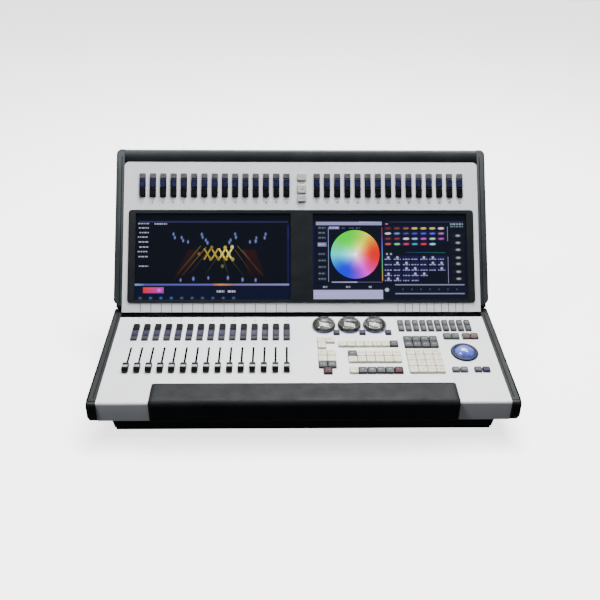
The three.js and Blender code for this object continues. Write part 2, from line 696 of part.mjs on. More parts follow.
add(deck, "fader_bank", faderBank(), BLACK_PLASTIC);
columns.forEach((x, i) => add(deck, `fader_${String(i + 1).padStart(2, "0")}`, fader(x), BLACK_KEY));
["left", "middle", "right"].forEach((place, i) => {
  add(deck, `wheel_${place}`, wheel(WHEELS_X[i]), CLEAR_WHEEL);
});
add(deck, "encoder_board", encoderBoard(), BOARD_GREEN);
add(deck, "trackball", trackball(), BALL_BLUE);
add(deck, "trackball_ring", trackballRing(), RING_BLUE);
add(deck, "trackball_socket", trackballSocket(), BLACK_PLASTIC);
add(deck, "playback_keys", keyMat(PLAYBACK_KEYS, webOver(PLAYBACK_KEYS)), BLUE_KEY);
const modeWeb = webOver(MODE_KEYS);
modeWeb[2] = 60; // reaches up to join the macro rows' web
add(deck, "macro_keys", keyMat(MACRO_KEYS, webOver(MACRO_ROWS), modeWeb), GREY_KEY);
add(deck, "wheel_keys", keyMat(WHEEL_KEYS, webOver(WHEEL_KEYS)), BLUE_KEY);
add(deck, "trackball_keys", keyMat(POINTER_KEYS, webOver(POINTER_KEYS)), GREY_KEY);
add(deck, "number_keypad", keyMat(NUMBER_KEYS, webOver(NUMBER_KEYS)), BEIGE_KEY);
add(deck, "command_keypad", keyMat(COMMAND_KEYS, webOver(COMMAND_KEYS)), BEIGE_KEY);
add(deck, "record_keypad", keyMat(RECORD_KEYS, webOver(RECORD_KEYS)), BEIGE_KEY);

add(face, "screen_tray", screenTray(), BLACK_PAINT);
add(face, "face_panel", facePanel(), WHITE_PAINT);
add(face, "screen_bezel", screenBezel(), BLACK_PLASTIC);
add(face, "left_display", display(-1), GLASS_BLACK);
add(face, "right_display", display(1), GLASS_BLACK);
add(face, "top_bar", topBar(), DARK_PAINT);
add(face, "left_screen_cheek", screenCheek(-1), DARK_PAINT);
add(face, "right_screen_cheek", screenCheek(1), DARK_PAINT);
add(face, "preset_board", presetBoard(), BOARD_GREEN);
const leftPresets = presetKeys(columns);
const rightPresets = presetKeys(rightColumns);
add(face, "preset_keys_left", keyMat(leftPresets, webOver(leftPresets)), BLUE_KEY);
add(face, "preset_keys_right", keyMat(rightPresets, webOver(rightPresets)), BLUE_KEY);
add(face, "page_keys", keyMat(PAGE_KEYS, webOver(PAGE_KEYS)), BEIGE_KEY);

// The part's origin is the centre of its footprint, on the table.
table.updateMatrixWorld(true);
const extent = new THREE.Box3().setFromObject(table, true);
table.position.y = -(extent.min.y + extent.max.y) / 2;

const desk = new THREE.Group();
desk.add(table);
export default desk;
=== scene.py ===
# %% [markdown]
# # A two-screen lighting control desk
# A console for stage light stands on a table: a pale sloping deck full of faders and keys, and
# behind it a tilting section with two touch displays. The solid model already fixes every size
# and every joint. This lesson dresses it: each visible piece gets its real edges, its finish
# and its small print, and rides on the body that carries it.

import bmesh
import bpy
import numpy as np
from mathutils import Matrix, Vector
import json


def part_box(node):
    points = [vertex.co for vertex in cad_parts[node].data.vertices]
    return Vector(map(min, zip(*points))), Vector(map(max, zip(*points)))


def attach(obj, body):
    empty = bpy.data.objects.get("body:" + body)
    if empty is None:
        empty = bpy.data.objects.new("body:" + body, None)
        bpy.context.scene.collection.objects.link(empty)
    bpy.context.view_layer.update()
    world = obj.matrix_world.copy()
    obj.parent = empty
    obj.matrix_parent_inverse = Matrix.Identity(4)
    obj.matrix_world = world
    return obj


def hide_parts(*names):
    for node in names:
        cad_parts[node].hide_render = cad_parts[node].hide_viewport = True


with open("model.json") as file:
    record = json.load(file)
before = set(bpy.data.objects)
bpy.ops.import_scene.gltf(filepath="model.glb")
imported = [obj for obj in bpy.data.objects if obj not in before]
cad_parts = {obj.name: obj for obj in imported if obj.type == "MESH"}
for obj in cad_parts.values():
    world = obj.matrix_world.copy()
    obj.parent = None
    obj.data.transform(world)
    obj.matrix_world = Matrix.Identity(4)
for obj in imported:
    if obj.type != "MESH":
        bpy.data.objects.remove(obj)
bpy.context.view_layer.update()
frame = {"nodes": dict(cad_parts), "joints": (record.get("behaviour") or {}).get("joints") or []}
joints = {joint["name"]: joint for joint in frame["joints"]}

# %% [markdown]
# ## Two drawing boards
# Almost everything sits square on one of two planes, the deck or the screen face, and both start
# at the hinge line between them. The joints already know the directions: faders slide up the
# deck, jog wheels turn about its normal, and preset keys press into the face. With those
# directions a piece can be drawn flat in millimetres and put in its place in one step.

# %% Deck and face coordinates
MM = 0.001
ACROSS = np.array([1.0, 0.0, 0.0])
WHEEL_S = 44  # jog wheel centres in front of the hinge line

deck_up = np.array(joints["fader_01_slide"]["axis"])
deck_out = np.array(joints["wheel_left_turn"]["axis"])
face_out = -np.array(joints["page_keys_press"]["axis"])
face_up = np.array([0.0, face_out[2], -face_out[1]])
hinge_line = np.array(joints["wheel_left_turn"]["pos_m"]) * [0, 1, 1] + WHEEL_S * MM * deck_up


def on_deck(x, s, h):
    """Points x across, s in front of the hinge line and h above the deck, in millimetres."""
    x, s, h = np.broadcast_arrays(x, s, h)
    local = np.stack([x, -s, h], axis=-1) * MM
    return hinge_line + local @ np.array([ACROSS, deck_up, deck_out])


def on_face(x, u, n):
    """Points x across, u up the screen face and n out of it, in millimetres."""
    x, u, n = np.broadcast_arrays(x, u, n)
    local = np.stack([x, u, n], axis=-1) * MM
    return hinge_line + local @ np.array([ACROSS, face_up, face_out])


print("hinge line", hinge_line.round(4), "face normal", face_out.round(3))

# %% [markdown]
# ## From arrays to pieces
# A surface is a grid of points. One helper numbers its faces, closing it round on itself where
# asked, and another puts points and faces into a mesh and hands it to its body. Sharp edges are
# marked by angle, so that flats stay flat and rounds shade round. A solid that already has the
# right shape is dressed instead: its own mesh is copied, tidied and given a finish.


# %% Helpers for meshes
def grid_faces(rows, columns, around=False):
    """Quads between neighbouring grid points, point number = row * columns + column."""
    row, column = np.meshgrid(np.arange(rows - 1), np.arange(columns - (not around)), indexing="ij")
    right = (column + 1) % columns
    quads = [row * columns + column, row * columns + right]
    quads += [(row + 1) * columns + right, (row + 1) * columns + column]
    return np.stack(quads, axis=-1).reshape(-1, 4)


def repeated(faces, count, stride):
    """The same faces for count copies whose points follow each other, stride points apart."""
    return (faces[None] + (np.arange(count) * stride)[:, None, None]).reshape(-1, faces.shape[1])


def piece(name, points, faces, body, material, sharp=35.0, shades=None, marks=None):
    """A mesh from an (n, 3) array and lists of faces, on its body, with optional point data."""
    mesh = bpy.data.meshes.new(name)
    faces = [list(map(int, face)) for group in faces for face in group]
    mesh.from_pydata(np.asarray(points).reshape(-1, 3).tolist(), [], faces)
    mesh.validate()
    mesh.shade_smooth()
    if sharp:
        mesh.set_sharp_from_angle(angle=np.radians(sharp))
    if shades is not None:
        layer = mesh.attributes.new("shade", "FLOAT_COLOR", "POINT")
        layer.data.foreach_set("color", np.asarray(shades, dtype=np.float32).ravel())
    if marks is not None:
        layer = mesh.attributes.new("mark", "FLOAT_VECTOR", "POINT")
        layer.data.foreach_set("vector", np.asarray(marks, dtype=np.float32).ravel())
    mesh.materials.append(material)
    thing = bpy.data.objects.new(name, mesh)
    bpy.context.scene.collection.objects.link(thing)
    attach(thing, body)
    return thing


def weld(thing):
    """Merges the points that meet at a pole or a seam, and points the faces outwards."""
    work = bmesh.new()
    work.from_mesh(thing.data)
    bmesh.ops.remove_doubles(work, verts=work.verts, dist=1e-6)
    bmesh.ops.recalc_face_normals(work, faces=work.faces)
    work.to_mesh(thing.data)
    work.free()


def dressed(node, body, material, bevel=0.0, sharp=35.0):
    """A copy of a solid's own mesh, its doubles merged and its edges broken by bevel millimetres."""
    source = frame["nodes"][node]
    mesh = source.data.copy()
    mesh.name = node + "_dressed"
    work = bmesh.new()
    work.from_mesh(mesh)
    bmesh.ops.remove_doubles(work, verts=work.verts, dist=2e-6)
    bmesh.ops.dissolve_limit(work, angle_limit=0.002, verts=work.verts, edges=work.edges)
    work.to_mesh(mesh)
    work.free()
    mesh.shade_smooth()
    mesh.set_sharp_from_angle(angle=np.radians(sharp))
    mesh.materials.clear()
    mesh.materials.append(material)
    thing = bpy.data.objects.new(node + "_dressed", mesh)
    bpy.context.scene.collection.objects.link(thing)
    if bevel:
        edge = thing.modifiers.new("broken edges", "BEVEL")
        edge.width = bevel * MM
        edge.segments = 2
        edge.limit_method = "ANGLE"
        edge.angle_limit = np.radians(sharp)
        edge.harden_normals = True
    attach(thing, body)
    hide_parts(node)
    return thing


# %% [markdown]
# ## Finishes
# No real surface is one flat colour. Every finish here starts from the same three habits: the
# colour drifts a little over some centimetres, the gloss drifts with it, and a fine relief
# breaks up the highlights. What changes from finish to finish is the size and shape of the
# relief: the orange peel of powder coat, the spark-eroded grain of moulded plastic, the pebbled
# skin of foam. Each is made from noise on the object's own coordinates.


# %% Finish helpers
MIDDLE = (0.3, 0.7)  # noise seldom leaves this range


def srgb(code):
    """A hex colour as linear red, green, blue."""
    value = np.array([int(code[i : i + 2], 16) for i in (1, 3, 5)]) / 255
    return np.where(value <= 0.04045, value / 12.92, ((value + 0.055) / 1.055) ** 2.4)


class Finish:
    """A material under construction: a Principled shader with helpers to feed its sockets."""

    def __init__(self, name, roughness=0.5, **sockets):
        self.material = bpy.data.materials.new(name)
        self.material.use_nodes = True
        self.tree = self.material.node_tree
        self.shader = self.tree.nodes["Principled BSDF"]
        self.shader.inputs["Roughness"].default_value = roughness
        for socket, value in sockets.items():
            self.shader.inputs[socket.replace("_", " ")].default_value = value
        self.place = self.add("ShaderNodeTexCoord").outputs["Object"]

    def add(self, kind, **settings):
        node = self.tree.nodes.new(kind)
        for key, value in settings.items():
            if key in node.inputs:
                node.inputs[key].default_value = value
            else:
                setattr(node, key, value)
        return node

    def link(self, source, target):
        self.tree.links.new(source, target)

    def noise(self, size, detail=3.0):
        """Noise from 0 to 1 whose blotches are about size millimetres wide."""
        node = self.add("ShaderNodeTexNoise", Scale=1000.0 / size, Detail=detail)
        self.link(self.place, node.inputs["Vector"])
        return node.outputs["Fac"]

    def remap(self, value, low, high, to_low, to_high):
        node = self.add("ShaderNodeMapRange")
        for index, number in enumerate([low, high, to_low, to_high]):
            node.inputs[index + 1].default_value = number
        self.link(value, node.inputs[0])
        return node.outputs[0]

    def math(self, operation, first, second=0.0):
        node = self.add("ShaderNodeMath", operation=operation)
        for index, value in enumerate([first, second]):
            if isinstance(value, (int, float)):
                node.inputs[index].default_value = value
            else:
                self.link(value, node.inputs[index])
        return node.outputs[0]

    def mix(self, factor, first, second):
        """A colour between two, each a colour or another node's output."""
        node = self.add("ShaderNodeMix", data_type="RGBA")
        for socket, value in ((0, factor), (6, first), (7, second)):
            if isinstance(value, (tuple, np.ndarray)):
                node.inputs[socket].default_value = (*value[:3], 1.0)
            else:
                self.link(value, node.inputs[socket])
        return node.outputs[2]

    def colour(self, value):
        self.link(value, self.shader.inputs["Base Color"])

    def gloss(self, value, low, high):
        """Roughness from low to high, following a noise."""
        self.link(self.remap(value, *MIDDLE, low, high), self.shader.inputs["Roughness"])

    def relief(self, value, depth):
        """Relief depth in millimetres."""
        node = self.add("ShaderNodeBump", Distance=depth * MM, Strength=1.0)
        self.link(value, node.inputs["Height"])
        self.link(node.outputs["Normal"], self.shader.inputs["Normal"])


def drifting(name, light, dark, size, rough, grain, depth, **sockets):
    """The common finish: colour and gloss drift over size mm, relief of one grain in mm."""
    made = Finish(name, **sockets)
    drift = made.noise(size, 4.0)
    made.colour(made.mix(made.remap(drift, *MIDDLE, 0.0, 1.0), srgb(dark), srgb(light)))
    made.gloss(made.noise(size * 0.4, 5.0), rough[0], rough[1])
    made.relief(made.noise(grain, 2.0), depth)
    return made.material


# %% [markdown]
# ### Paint, mouldings, rubber and metal
# The sheets are powder coated: a pale grey with a fine orange peel, and a satin black under it.
# The cheeks and the rail are dark mouldings. Steel parts are plated and faintly brushed.

# %% The main finishes
white = drifting("white_powder_coat", "#dcdde0", "#d0d2d6", 90, (0.38, 0.5), 1.1, 0.02)
dull, soft = {"Specular_IOR_Level": 0.2}, {"Specular_IOR_Level": 0.1}
black = drifting("black_powder_coat", "#08090a", "#050506", 60, (0.45, 0.6), 1.0, 0.03, **dull)
flat = {"Specular_IOR_Level": 0.05}
matt = drifting("matt_black", "#121315", "#0a0b0c", 30, (0.8, 0.95), 1.0, 0.03, **flat)
satin = {"Specular_IOR_Level": 0.25}
cheek = drifting("cheek_moulding", "#1c1e1f", "#141617", 70, (0.36, 0.48), 0.8, 0.02, **satin)
bright = {"Specular_IOR_Level": 0.3}
rail = drifting("rail_moulding", "#2f3437", "#252a2d", 80, (0.42, 0.55), 0.8, 0.02, **bright)
plastic = drifting("black_nylon", "#0c0d0e", "#070708", 30, (0.4, 0.55), 0.6, 0.02, **dull)
bezel = drifting("bezel_moulding", "#14181c", "#0e1114", 60, (0.42, 0.55), 0.7, 0.01, **dull)
steel = drifting("zinc_plate", "#a9abab", "#8d9092", 12, (0.28, 0.45), 0.4, 0.01, Metallic=1.0)
rubber = drifting("foot_rubber", "#0c0c0c", "#080808", 20, (0.75, 0.9), 0.9, 0.05, **dull)
board = drifting("circuit_board", "#1f5a36", "#174a2b", 15, (0.35, 0.5), 0.5, 0.02)
black_cap = drifting("black_cap", "#060707", "#030304", 25, (0.42, 0.55), 0.5, 0.01, **dull)
print("finishes", len(bpy.data.materials))

# %% [markdown]
# ## The sheet-metal and moulded shell
# The shell parts are exactly the solids, so each is dressed with its own mesh: doubled points
# merged, folds shaded round, edges broken by a few tenths so that they catch the light.

# %% Dress the shell
dressed("base_tray", "root", black, 0.6)
dressed("deck_panel", "root", white)
dressed("rear_panel", "root", black, 0.4)
dressed("screen_tray", "screen", matt, 0.5)
dressed("face_panel", "screen", white)
dressed("screen_bezel", "screen", bezel, 0.5)
for name, body in (("left_cheek", "root"), ("right_cheek", "root")):
    dressed(name, body, cheek, 0.0, 40)
for name in ("left_screen_cheek", "right_screen_cheek", "top_bar"):
    dressed(name, "screen", rail, 0.0, 40)
for name in ("dmx_sockets", "power_inlet", "trackball_socket", "fader_bank"):
    dressed(name, "root", plastic, 0.3)
dressed("power_switch", "power_switch", plastic, 0.4)
dressed("data_sockets", "root", steel, 0.3)
dressed("power_supply", "root", steel, 0.4)
dressed("hinge_bar", "root", matt, 0.3)
for name in ("main_board", "encoder_board"):
    dressed(name, "root", board)
dressed("preset_board", "screen", board)
for name in ("front_foot_strip", "rear_foot_strip"):
    dressed(name, "root", rubber, 0.8)

# %% [markdown]
# ## Hinge seals
# The foot of each screen cheek stands clear of the rounded nose it turns over. A rubber block
# fills the space: its underside is an arc about the hinge axis, a shade wider than the nose, so
# the gap stays the same at every tilt. The outline is a row of points along the arc, each with
# another straight above it, carried across the width of the cheek's neck.

# %% Hinge seals
hinge_at = np.array(joints["screen_tilt"]["pos_m"]) - hinge_line
hinge_u, hinge_n = hinge_at @ face_up / MM, hinge_at @ face_out / MM
NOSE_R, CLEARANCE = 17.5, 0.4
SEAL_TOP = 27  # up the face, inside the cheek
NECK = np.array([397.4, 409.5])
SEAL_STEPS = 17


def hinge_seal(name, side):
    """Arc points (radius times cosine up the face, times sine out of it) and points over them."""
    angle = np.radians(np.linspace(-60, 20, SEAL_STEPS))
    low = hinge_u + (NOSE_R + CLEARANCE) * np.cos(angle)
    out = hinge_n + (NOSE_R + CLEARANCE) * np.sin(angle)
    high = np.full_like(low, SEAL_TOP)
    u = np.stack([low, high, high, low], -1)
    x = side * np.repeat(NECK, 2)
    first = np.arange(4)
    faces = [grid_faces(SEAL_STEPS, 4, True), first[None, ::-1], first[None] + 4 * (SEAL_STEPS - 1)]
    weld(piece(name, on_face(x, u, out[:, None]), faces, "screen", rubber, 30))


hinge_seal("hinge_seal_left", -1)
hinge_seal("hinge_seal_right", 1)
print("hinge axis", hinge_u.round(2), hinge_n.round(2), "mm from the hinge line")

# %% [markdown]
# ## Keys
# All keys are silicone caps of one shape: straight sides, a rounded shoulder and a shallow dish
# on top. One outline, a rounded rectangle, is scaled ring by ring up the sides and in over the
# shoulder, and the keys of one colour in a group share one mesh.


# %% One shape of keycap
CORNER_STEPS = 3
CAP_RINGS = np.array([[0.0, -2.0], [0.0, 3.4], [0.35, 4.5], [1.1, 5.0], [2.6, 4.8]])  # inset, height


def rounded_outline(width, depth, radius):
    """Rounded rectangles: corner centres plus radius times the cosine and sine, anticlockwise."""
    angle = np.radians(np.linspace(0, 90, CORNER_STEPS))
    turn = np.radians([0, 90, 180, 270])
    corner = (angle[None] + turn[:, None]).ravel()
    side_x = np.repeat([1, -1, -1, 1], CORNER_STEPS)
    side_y = np.repeat([1, 1, -1, -1], CORNER_STEPS)
    width, depth, radius = (np.asarray(v, dtype=float)[..., None] for v in (width, depth, radius))
    x = side_x * (width / 2 - radius) + radius * np.cos(corner)
    y = side_y * (depth / 2 - radius) + radius * np.sin(corner)
    return x, y


def keycaps(name, place, x, s, width, depth, body, material):
    """Caps at x and s: each ring is the outline drawn in by its inset and lifted to its height."""
    x, s = np.broadcast_arrays(np.asarray(x, float), np.asarray(s, float))
    x, s = x.ravel(), s.ravel()
    inset, height = CAP_RINGS.T
    ring_x, ring_y = rounded_outline(width - 2 * inset, depth - 2 * inset, 1.5 - 0.25 * inset)
    count, (rings, around) = len(x), ring_x.shape
    across = np.concatenate([ring_x.ravel(), [0.0]])
    along = np.concatenate([ring_y.ravel(), [0.0]])
    up = np.concatenate([np.repeat(height, around), [height[-1] - 0.1]])
    points = place(x[:, None] + across, s[:, None] + along, up)
    seed = np.broadcast_to((x * 0.37 + s * 0.71)[:, None] % 97, (count, len(up)))
    u = np.broadcast_to(across / width, seed.shape)
    v = np.broadcast_to(along / depth, seed.shape)
    last = (rings - 1) * around
    turn = np.arange(around)
    fan = np.stack([last + turn, last + (turn + 1) % around, np.full(around, last + around)], 1)
    stride = len(up)
    flip = place is on_deck
    sides, top, foot = grid_faces(rings, around, True), fan, turn[None, ::-1]
    groups = [repeated(g[:, ::-1] if flip else g, count, stride) for g in (sides, top, foot)]
    return piece(name, points, groups, body, material, 50, marks=np.stack([u, v, seed], -1))


# %% [markdown]
# The legends on the keys are too small to read at arm's length, so they are only a few short
# dark strokes: noise stretched sideways, cut off sharply, inside the middle of the cap's top.


# %% Keycap finish with a small printed mark
def cap_finish(name, light, dark, ink, shine):
    """A silicone cap. The printed mark is a band across the middle broken up by noise."""
    made = Finish(name, roughness=0.45, Specular_IOR_Level=shine)
    mark = made.add("ShaderNodeAttribute", attribute_name="mark").outputs["Vector"]
    parts = made.add("ShaderNodeSeparateXYZ")
    made.link(mark, parts.inputs[0])
    u, v, seed = parts.outputs
    tone = made.remap(made.noise(8, 2.0), *MIDDLE, 0.0, 1.0)
    base = made.mix(tone, srgb(dark), srgb(light))
    spread = made.add("ShaderNodeCombineXYZ")
    made.link(made.math("MULTIPLY", u, 9.0), spread.inputs[0])
    made.link(made.math("MULTIPLY", v, 4.0), spread.inputs[1])
    made.link(seed, spread.inputs[2])
    strokes = made.add("ShaderNodeTexNoise", Scale=1.0, Detail=0.0)
    made.link(spread.outputs[0], strokes.inputs["Vector"])
    cut = made.math("GREATER_THAN", strokes.outputs["Fac"], 0.52)
    wide = made.math("LESS_THAN", made.math("ABSOLUTE", u), 0.26)
    band = made.math("LESS_THAN", made.math("ABSOLUTE", made.math("ADD", v, 0.04)), 0.09)
    printed = made.math("MULTIPLY", cut, made.math("MULTIPLY", wide, band))
    made.colour(made.mix(printed, base, srgb(ink)))
    made.gloss(made.noise(5, 3.0), 0.36, 0.52)
    made.relief(made.noise(0.5, 2.0), 0.01)
    return made.material


CAPS = {
    "black": cap_finish("cap_black", "#050608", "#030405", "#131418", 0.08),
    # painted shade: a darker copy of the grey select-key finish, for the select keys on the deck
    "slate": cap_finish("cap_slate", "#36373d", "#2a2b31", "#1c1d22", 0.15),
    "blue": cap_finish("cap_blue", "#0c1238", "#080c28", "#1a2250", 0.15),
    "grey": cap_finish("cap_grey", "#55565a", "#434449", "#2c2d31", 0.3),
    "dark": cap_finish("cap_dark_grey", "#343638", "#282a2c", "#7c7f80", 0.3),
    "light": cap_finish("cap_light_grey", "#454a4d", "#383c3f", "#83888b", 0.3),
    "beige": cap_finish("cap_ivory", "#cfcdb8", "#c0bda6", "#8d8672", 0.4),
    "pale": cap_finish("cap_pale", "#b3b5b0", "#a2a49f", "#70726e", 0.4),
    "red": cap_finish("cap_red", "#2e060e", "#22040a", "#74343e", 0.2),
    "green_grey": cap_finish("cap_green_grey", "#3d4642", "#303834", "#6d7a75", 0.3),
    "red_grey": cap_finish("cap_red_grey", "#463634", "#382a28", "#7c6a68", 0.3),
    "violet": cap_finish("cap_violet_grey", "#35313e", "#2a2732", "#7c7788", 0.3),
    "navy": cap_finish("cap_navy", "#100e2c", "#0a0920", "#34316a", 0.25),
}
print("cap finishes", len(CAPS))

# %% Keys on the deck
PITCH = 23.0
columns = -356 + PITCH * np.arange(15)
macros = 212.8 + 16.08 * np.arange(10)


def deck_keys(name, colour, x, s, width, depth, body):
    return keycaps(name, on_deck, x, s, width, depth, body, CAPS[colour])


def block(x, s, across, down, pitch=18.0):
    """The centres of a block of keys, across columns by down rows from its first key."""
    return np.meshgrid(x + pitch * np.arange(across), s + 18.2 * np.arange(down))


deck_keys("playback_flash", "black", columns, 49.5, 13.4, 20.4, "playback_keys")
deck_keys("playback_swop", "navy", columns, 70.5, 13.4, 20, "playback_keys")
# the deck's select keys take the darker copy of the grey finish: painted shade
last = deck_keys("playback_select", "slate", columns, 86.7, 13.4, 10.8, "playback_keys")
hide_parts("playback_keys")
deck_keys("macro_upper", "dark", macros, 36, 12.4, 17.4, "macro_keys")
last = deck_keys("macro_lower", "dark", macros, 54.2, 12.4, 17.4, "macro_keys")
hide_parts("macro_keys")
deck_keys("mode_green", "green_grey", [307, 324.2], 82, 16.4, 16.8, "macro_keys")
deck_keys("mode_red", "red_grey", [347.3, 364.5], 82, 16.4, 16.8, "macro_keys")
last = deck_keys("wheel_blue", "navy", [72.5, 127.8, 183], 68.5, 13, 13, "wheel_keys")
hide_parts("wheel_keys")
deck_keys("pointer_grey", "light", [305.6, 322], 189, 14.6, 13.4, "trackball_keys")
deck_keys("pointer_violet", "violet", [350.4], 189, 14.6, 13.4, "trackball_keys")
last = deck_keys("pointer_navy", "navy", [366.8], 189, 14.6, 13.4, "trackball_keys")
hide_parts("trackball_keys")
deck_keys("number_dark", "dark", *block(220.8, 92, 4, 2), 17.2, 17.4, "number_keypad")
last = deck_keys("number_ivory", "beige", *block(220.8, 135.2, 4, 4), 17.2, 17.4, "number_keypad")
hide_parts("number_keypad")

command = "command_keypad"
deck_keys("command_a", "beige", *block(82.5, 107, 6, 1), 17.2, 17.4, command)
deck_keys("command_a_end", "dark", [190.5], 107, 17.2, 17.4, command)
deck_keys("command_b_first", "dark", [100.8], 139, 17.4, 17.4, command)
deck_keys("command_b", "beige", *block(119, 139, 5, 1, 18.2), 17.4, 17.4, command)
deck_keys("command_c", "beige", *block(100.8, 157.2, 6, 1, 18.2), 17.4, 17.4, command)
deck_keys("command_d_first", "beige", [100.5], 190.5, 17.2, 17.4, command)
deck_keys("command_d", "dark", *block(118.5, 190.5, 4, 1), 17.2, 17.4, command)
last = deck_keys("command_d_end", "red", [190.5], 190.5, 17.2, 17.4, command)
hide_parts(command)

record = "record_keypad"
deck_keys("record_top", "beige", *block(39.2, 94.4, 2, 1, 18.4), 17.6, 17.4, record)
deck_keys("record_step", "beige", [39.2], 112.6, 17.6, 17.4, record)
deck_keys("record_middle", "beige", *block(39.2, 137, 2, 2, 18.4), 17.6, 17.4, record)
deck_keys("record_dark", "dark", *block(39.2, 173.4, 2, 1, 18.4), 17.6, 17.4, record)
last = deck_keys("record_red", "red", [48.4], 191.6, 17.6, 17.4, record)
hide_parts(record)

# %% Keys on the screen face
for side, group, name in ((1, "left", "preset_keys_left"), (-1, "right", "preset_keys_right")):
    row = side * columns
    keycaps(f"preset_flash_{group}", on_face, row, 273.2, 13.4, 19.8, name, CAPS["black"])
    keycaps(f"preset_swop_{group}", on_face, row, 293.8, 13.4, 19.8, name, CAPS["blue"])
    last = keycaps(f"preset_select_{group}", on_face, row, 310.5, 13.4, 12, name, CAPS["grey"])
    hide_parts(name)
keycaps("page_up", on_face, [0], 308.4, 18.6, 16, "page_keys", CAPS["pale"])
keycaps("page_name", on_face, [0], 281, 18.6, 19, "page_keys", CAPS["pale"])
last = keycaps("page_down", on_face, [0], 259.6, 18.6, 15, "page_keys", CAPS["pale"])
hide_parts("page_keys")

# %% [markdown]
# ## Fader caps
# A fader cap is a small saddle: two raised lips with a dished grip between them, and a
# white line across the middle that shows the level. The grip is a pale grey strip: a painted
# reflection of the lamps on the glossy black cap. The front lip slopes down to the deck. The
# side profile is carried across the cap's width, drawn in a little at both ends so that the
# ends are rounded. A steel blade joins the cap to its slider under the deck.

# %% Fader caps
FADER_REST_S = 183.0
STRIP_HALF = 5.0
# The pale grey of the dish strip is a painted reflection on the glossy cap; the rear numbers are printed
# in the same grey.
dish = drifting("cap_dish", "#7d8181", "#6a6e6e", 12, (0.25, 0.35), 0.5, 0.01)


def saddle(along):
    """Cap height over its length: a dish between two lips, the front one longer and sloping."""
    lips = 2.4 * np.exp(-(((along - 6.6) / 3.0) ** 2)) + 2.6 * np.exp(-(((along + 6.2) / 2.6) ** 2))
    front = 3.4 * np.clip((-along - 7.0) / 5.0, 0, 1) ** 1.6
    rear = 1.8 * np.clip((along - 9.5) / 2.5, 0, 1) ** 2
    return 9.1 + lips - front - rear


def cap_skin(x, inset, along, ends):
    """The saddle's outline round the side, carried across: rows go across, columns around."""
    top = np.stack([along, saddle(along)], -1)
    foot = np.array([[along[-1] - 0.6, 1.0], [along[0] + 0.8, 1.0]])
    ring = np.concatenate([top, foot])
    middle = np.array([0.0, 5.5])
    scale = 1.0 - inset[:, None, None] * np.array([1 / 12.0, 1 / 5.5])
    rows = middle + (ring[None] - middle) * scale
    return on_deck(x + ends[:, None], FADER_REST_S - rows[..., 0], rows[..., 1])


def fader_cap(number, x):
    """The cap's skin, the grip's painted reflection and the level line let into its dish, and its blade.
    """
    along = np.linspace(-12, 12, 33)
    ends = np.array([-6.0, -5.7, -5.1, 5.1, 5.7, 6.0])
    inset = np.array([0.9, 0.3, 0.0, 0.0, 0.3, 0.9])
    points = cap_skin(x, inset, along, ends)
    rows, around = points.shape[:2]
    first = np.arange(around)
    groups = [grid_faces(rows, around, True), first[None, ::-1], first[None] + (rows - 1) * around]
    body = f"fader_{number:02d}"
    flipped = [group[:, ::-1] for group in groups]
    cap = piece(f"fader_cap_{number:02d}", points, flipped, body, black_cap, 45)
    across = STRIP_HALF * np.array([-1.0, 1.0])[:, None]
    # the dish strip is a painted reflection, the line is the white level line
    for part, reach, lift, finish in (("dish", 3.0, 0.08, dish), ("line", 0.5, 0.14, white)):
        t = np.linspace(-reach, reach, 7) + 0.3
        top = on_deck(x + across, FADER_REST_S - t, saddle(t) + lift)
        under = on_deck(x - across, FADER_REST_S - t, saddle(t) - 0.3)
        faces = grid_faces(2, 7)[:, ::-1]
        strip = np.concatenate([top.reshape(-1, 3), under.reshape(-1, 3)])
        piece(f"fader_{part}_{number:02d}", strip, [faces, faces + 14], body, finish, 0)
    blade(number, x, body)
    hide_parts(body)


def blade(number, x, body):
    """The steel blade from cap to slider: a rectangle carried down from the cap into the slot."""
    ring_x = np.array([-0.5, 0.5, 0.5, -0.5])
    ring_s = FADER_REST_S + np.array([-3.8, -3.8, 3.8, 3.8])
    height = np.array([-9.5, 1.5])
    points = on_deck(x + ring_x, ring_s, height[:, None])
    faces = [grid_faces(2, 4, True), np.array([[3, 2, 1, 0]]), np.array([[4, 5, 6, 7]])]
    return piece(f"fader_blade_{number:02d}", points, [f[:, ::-1] for f in faces], body, steel, 30)


for number, x in enumerate(columns, 1):
    fader_cap(number, float(x))
print("fader caps", len(columns))

# %% [markdown]
# ## Jog wheels, trackball and ring
# These are turned shapes: a profile of radius and height carried round an axis square to the
# deck. The wheels are clear domes over a silvered cone, lit from below by a cool ring of light.


# %% Turned pieces
def turned(name, profile, x, s, body, material, steps=64, sharp=35.0):
    """A closed profile of (radius, height) rows turned about the deck normal at x, s."""
    radius, height = np.asarray(profile, float).T
    angle = np.linspace(0, 2 * np.pi, steps, endpoint=False)
    ring_x = x + radius[:, None] * np.cos(angle)
    ring_s = s - radius[:, None] * np.sin(angle)
    points = on_deck(ring_x, ring_s, height[:, None])
    rows = len(radius)
    groups = [grid_faces(rows, steps, True)]
    turn = np.arange(steps)
    flat = points.reshape(-1, 3)
    if radius[0] > 0:
        groups.append(turn[None, ::-1])
    if radius[-1] > 0:
        groups.append(turn[None] + (rows - 1) * steps)
    made = piece(name, flat, groups, body, material, sharp)
    weld(made)
    return made


def dome(radius, height, steps=12, power=2.4):
    """Rows of (radius, height) on a superellipse from the rim up to the pole."""
    angle = np.linspace(0, np.pi / 2, steps)
    r = radius * np.cos(angle) ** (2 / power)
    return np.stack([np.maximum(r, 0), height * np.sin(angle) ** (2 / power)], -1)


